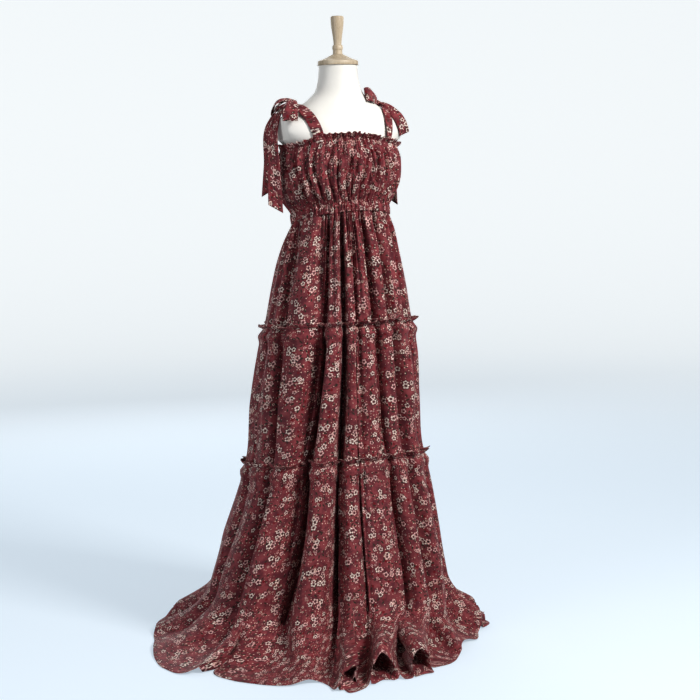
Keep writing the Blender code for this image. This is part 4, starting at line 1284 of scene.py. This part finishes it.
# %% Tails: side, node, path after the knot's direction, across, widths, slant
TAILS = (
    ("right", "tail_front_right", (-1, -0.25, -0.35),
     ((-0.164, 0.010, 1.326), (-0.182, 0.004, 1.290), (-0.186, 0.000, 1.200),
      (-0.1845, -0.002, 1.092)),
     ((0.3, -0.95, 0), (0.6, -0.75, 0), (0.9, -0.42, 0)), (0.012, 0.026, 0.031, 0.034, 0.036), 0.022),
    ("right", "tail_back_right", (-0.8, 0.7, -0.1),
     ((-0.158, 0.034, 1.334), (-0.176, 0.038, 1.302), (-0.182, 0.036, 1.200),
      (-0.190, 0.034, 1.130)),
     ((0, -0.35, 1), (0.3, -0.95, 0.1), (0.6, -0.8, 0), (0.8, -0.6, 0)),
     (0.010, 0.026, 0.028, 0.026), -0.018),
    ("left", "tail_front_left", (1, 0.15, -0.35),
     ((0.152, 0.024, 1.338), (0.176, 0.040, 1.300), (0.180, 0.048, 1.200),
      (0.178, 0.036, 1.100)),
     ((0.1, -1, 0), (0.25, -0.97, 0)), (0.012, 0.026, 0.028, 0.030), 0.018),
    ("left", "tail_back_left", (0.5, 0.85, 0.1),
     ((0.140, 0.064, 1.340), (0.166, 0.092, 1.296), (0.170, 0.098, 1.210),
      (0.168, 0.098, 1.130)),
     ((0.8, -0.6, 0), (0.6, -0.8, 0)), (0.010, 0.026, 0.028, 0.030), -0.018),
)
for number, (side, node, way, path, across, widths, slant) in enumerate(TAILS):
    grid = tie_grid((at_knot(side, way, -0.001),) + path, across, widths, 5, 50 + number,
                    curl=0.10, slant=slant)
    end = add_sheet(node.replace("tail", "bow_tail"), grid, TIE_LOOKS)
    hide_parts(node)

# %% [markdown]
# ## What rides where, and the cut sizes of the cloth
#
# Nothing on this object moves, so every piece rides on the one body. For each large cloth
# piece the size it was cut to before it was gathered is listed, and its area is printed
# beside the area it hangs as.

# %% Cut sizes: piece, cut width and length in metres, and how it is held
CUTS = {"bodice_cloth": (1.40, 0.215, "gathered"), "tier_1_cloth": (1.80, 0.300, "gathered"),
        "tier_2_cloth": (2.40, 0.385, "gathered"), "tier_3_cloth": (3.00, 0.700, "gathered")}
own = [o for o in bpy.context.scene.objects
       if o.type == "MESH" and o.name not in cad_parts]
for piece in own:
    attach(piece, "root")


def measured(piece):
    """Area of one side of a sheet, in square metres, before its wall is made."""
    mesh = piece.data
    area = np.empty(len(mesh.polygons))
    mesh.polygons.foreach_get("area", area)
    return float(area.sum())


for name, (width, length, held) in CUTS.items():
    piece = bpy.data.objects[name]
    print(f"{name}: cut {width * length:.3f} m2, hangs as {measured(piece):.3f} m2")
TIE_CUT = 0.030            # width of a finished tie, laid flat
for piece in own:
    if piece.name.startswith(("tie_", "bow_tail_", "bow_loop_")):
        measured(piece) / TIE_CUT * 1.02

# %% [markdown]
# ## Floor, light and camera
#
# The dress stands in a pale studio: one wide bowl is both the floor and the backdrop, so
# no horizon shows. A soft light in front, above and to the camera's right shapes the folds,
# a large weak one at the camera's left lights the outline on that side, one hangs overhead
# and one stands behind for the back of the dress. The bowl is kept from lighting the cloth
# (visible_diffuse is off), because in the photograph the valleys are nearly black beside a
# wall that is nearly white: a real studio gets that by standing the dress far in front of
# its backdrop.


# %% Studio bowl
def studio_bowl():
    """A flat floor that curves up into a wall all around: a profile turned on the axis."""
    flat, curve, top = 6.2, 2.2, 7.0
    bend = np.linspace(0, math.pi / 2, 13)
    radius = np.concatenate([[0.02, 0.6, 1.5, 3.0, 4.6], flat + curve * np.sin(bend), [flat + curve]])
    height = np.concatenate([np.zeros(5), curve - curve * np.cos(bend), [top]])
    angle = np.linspace(0, 360, 96, endpoint=False)[None, :]
    grid = around(angle, radius[::-1][:, None] + 0 * angle, height[::-1][:, None] + 0 * angle)
    return grid[:, ::-1]


# The paper glows by its own emission, painted light in place of lamps shining on it. Its
# colour and its glow are a little darker around the dress than far off, which is painted
# shade, and greyer on the camera's side, painted shade too, so that the plastic does not
# mirror a bright wall
made, tree, shader = new_material("studio_paper")
apart = tree.nodes.new("ShaderNodeSeparateXYZ")
feed(tree, apart.inputs[0], object_vector(tree))
to_camera = maths(tree, "ADD", maths(tree, "MULTIPLY", apart.outputs["X"], -0.485),
                  maths(tree, "MULTIPLY", apart.outputs["Y"], -0.875))
near_camera = fade(tree, to_camera, 1.2, 4.0)
far_off = fade(tree, vector_maths(tree, "LENGTH", object_vector(tree)), 1.6, 8.6)
paper = mix(tree, far_off, linear(168, 175, 181), linear(230, 234, 237))
painted_glow = mix(tree, far_off, linear(204, 218, 230), linear(250, 254, 255))
feed(tree, shader.inputs["Base Color"], mix(tree, near_camera, paper, linear(196, 202, 208)))
feed(tree, shader.inputs["Emission Color"], mix(tree, near_camera, painted_glow, linear(180, 186, 192)))
shader.inputs["Roughness"].default_value = 0.95
# painted light: the paper glows by its own emission, dimmed near the dress and toward the camera as
# painted shade
shader.inputs["Emission Strength"].default_value = 0.68
bowl = add_sheet("studio_bowl", studio_bowl(), (made,), closed=True, wall=0.0)
bowl.visible_diffuse = False


# %% Lights: place and target in metres, size in metres, power in watts, colour
def soft_light(name, place, target, size, power, colour):
    """An area light at a place, turned to a target."""
    data = bpy.data.lights.new(name, "AREA")
    data.shape = "RECTANGLE"
    data.size, data.size_y = size
    data.energy = power
    data.color = colour
    light = bpy.data.objects.new(name, data)
    light.visible_camera = False
    light.location = place
    way = np.array(target, float) - np.array(place, float)
    light.rotation_euler = Vector(way).to_track_quat("-Z", "Y").to_euler()
    bpy.context.scene.collection.objects.link(light)


soft_light("key", (1.1, -2.95, 2.65), (0, 0, 1.05), (1.0, 1.1), 152, (1.0, 0.985, 0.965))
soft_light("side", (-3.6, -0.9, 1.35), (0, 0, 1.05), (1.8, 1.8), 50, (0.95, 0.97, 1.0))
soft_light("top", (0.2, 0.4, 4.6), (0, 0, 0), (3.0, 3.0), 12, (0.99, 0.995, 1.0))
soft_light("back", (0.9, 3.4, 2.3), (0, 0, 0.9), (2.2, 2.2), 40, (0.96, 0.98, 1.0))
world = bpy.data.worlds.new("pale_room")
world.use_nodes = True
world.node_tree.nodes["Background"].inputs["Color"].default_value = (0.93, 0.965, 1.0, 1.0)
world.node_tree.nodes["Background"].inputs["Strength"].default_value = 0.20
bpy.context.scene.view_settings.view_transform = "Standard"
bpy.context.scene.view_settings.gamma = 0.90
bpy.context.scene.world = world

# %% Camera: azimuth and pitch in degrees, distance and height in metres
AZIMUTH, DISTANCE, HEIGHT = -29.0, 4.2, 1.2
PITCH, ROLL, SIDEWAYS = 6.44, 1.0, 0.018
FOCAL, SENSOR = 84.7, 36.0


def photo_camera():
    """A camera on a circle around the axis, tilted down by the pitch and rolled."""
    a, p, r = (math.radians(v) for v in (AZIMUTH, PITCH, ROLL))
    right = Vector((math.cos(a), math.sin(a), 0))
    level = Vector((-math.sin(a), math.cos(a), 0))
    ahead = level * math.cos(p) - Vector((0, 0, 1)) * math.sin(p)
    up = right.cross(ahead)
    turned_right = right * math.cos(r) - up * math.sin(r)
    turned_up = right * math.sin(r) + up * math.cos(r)
    place = Vector((math.sin(a) * DISTANCE, -math.cos(a) * DISTANCE, HEIGHT)) + right * SIDEWAYS
    data = bpy.data.cameras.new("photo_view")
    data.lens, data.sensor_width = FOCAL, SENSOR
    data.clip_start, data.clip_end = 0.05, 60
    camera = bpy.data.objects.new("photo_view", data)
    turn = Matrix((turned_right, turned_up, -ahead)).transposed()
    camera.matrix_world = Matrix.Translation(place) @ turn.to_4x4()
    bpy.context.scene.collection.objects.link(camera)
    bpy.context.scene.camera = camera


photo_camera()
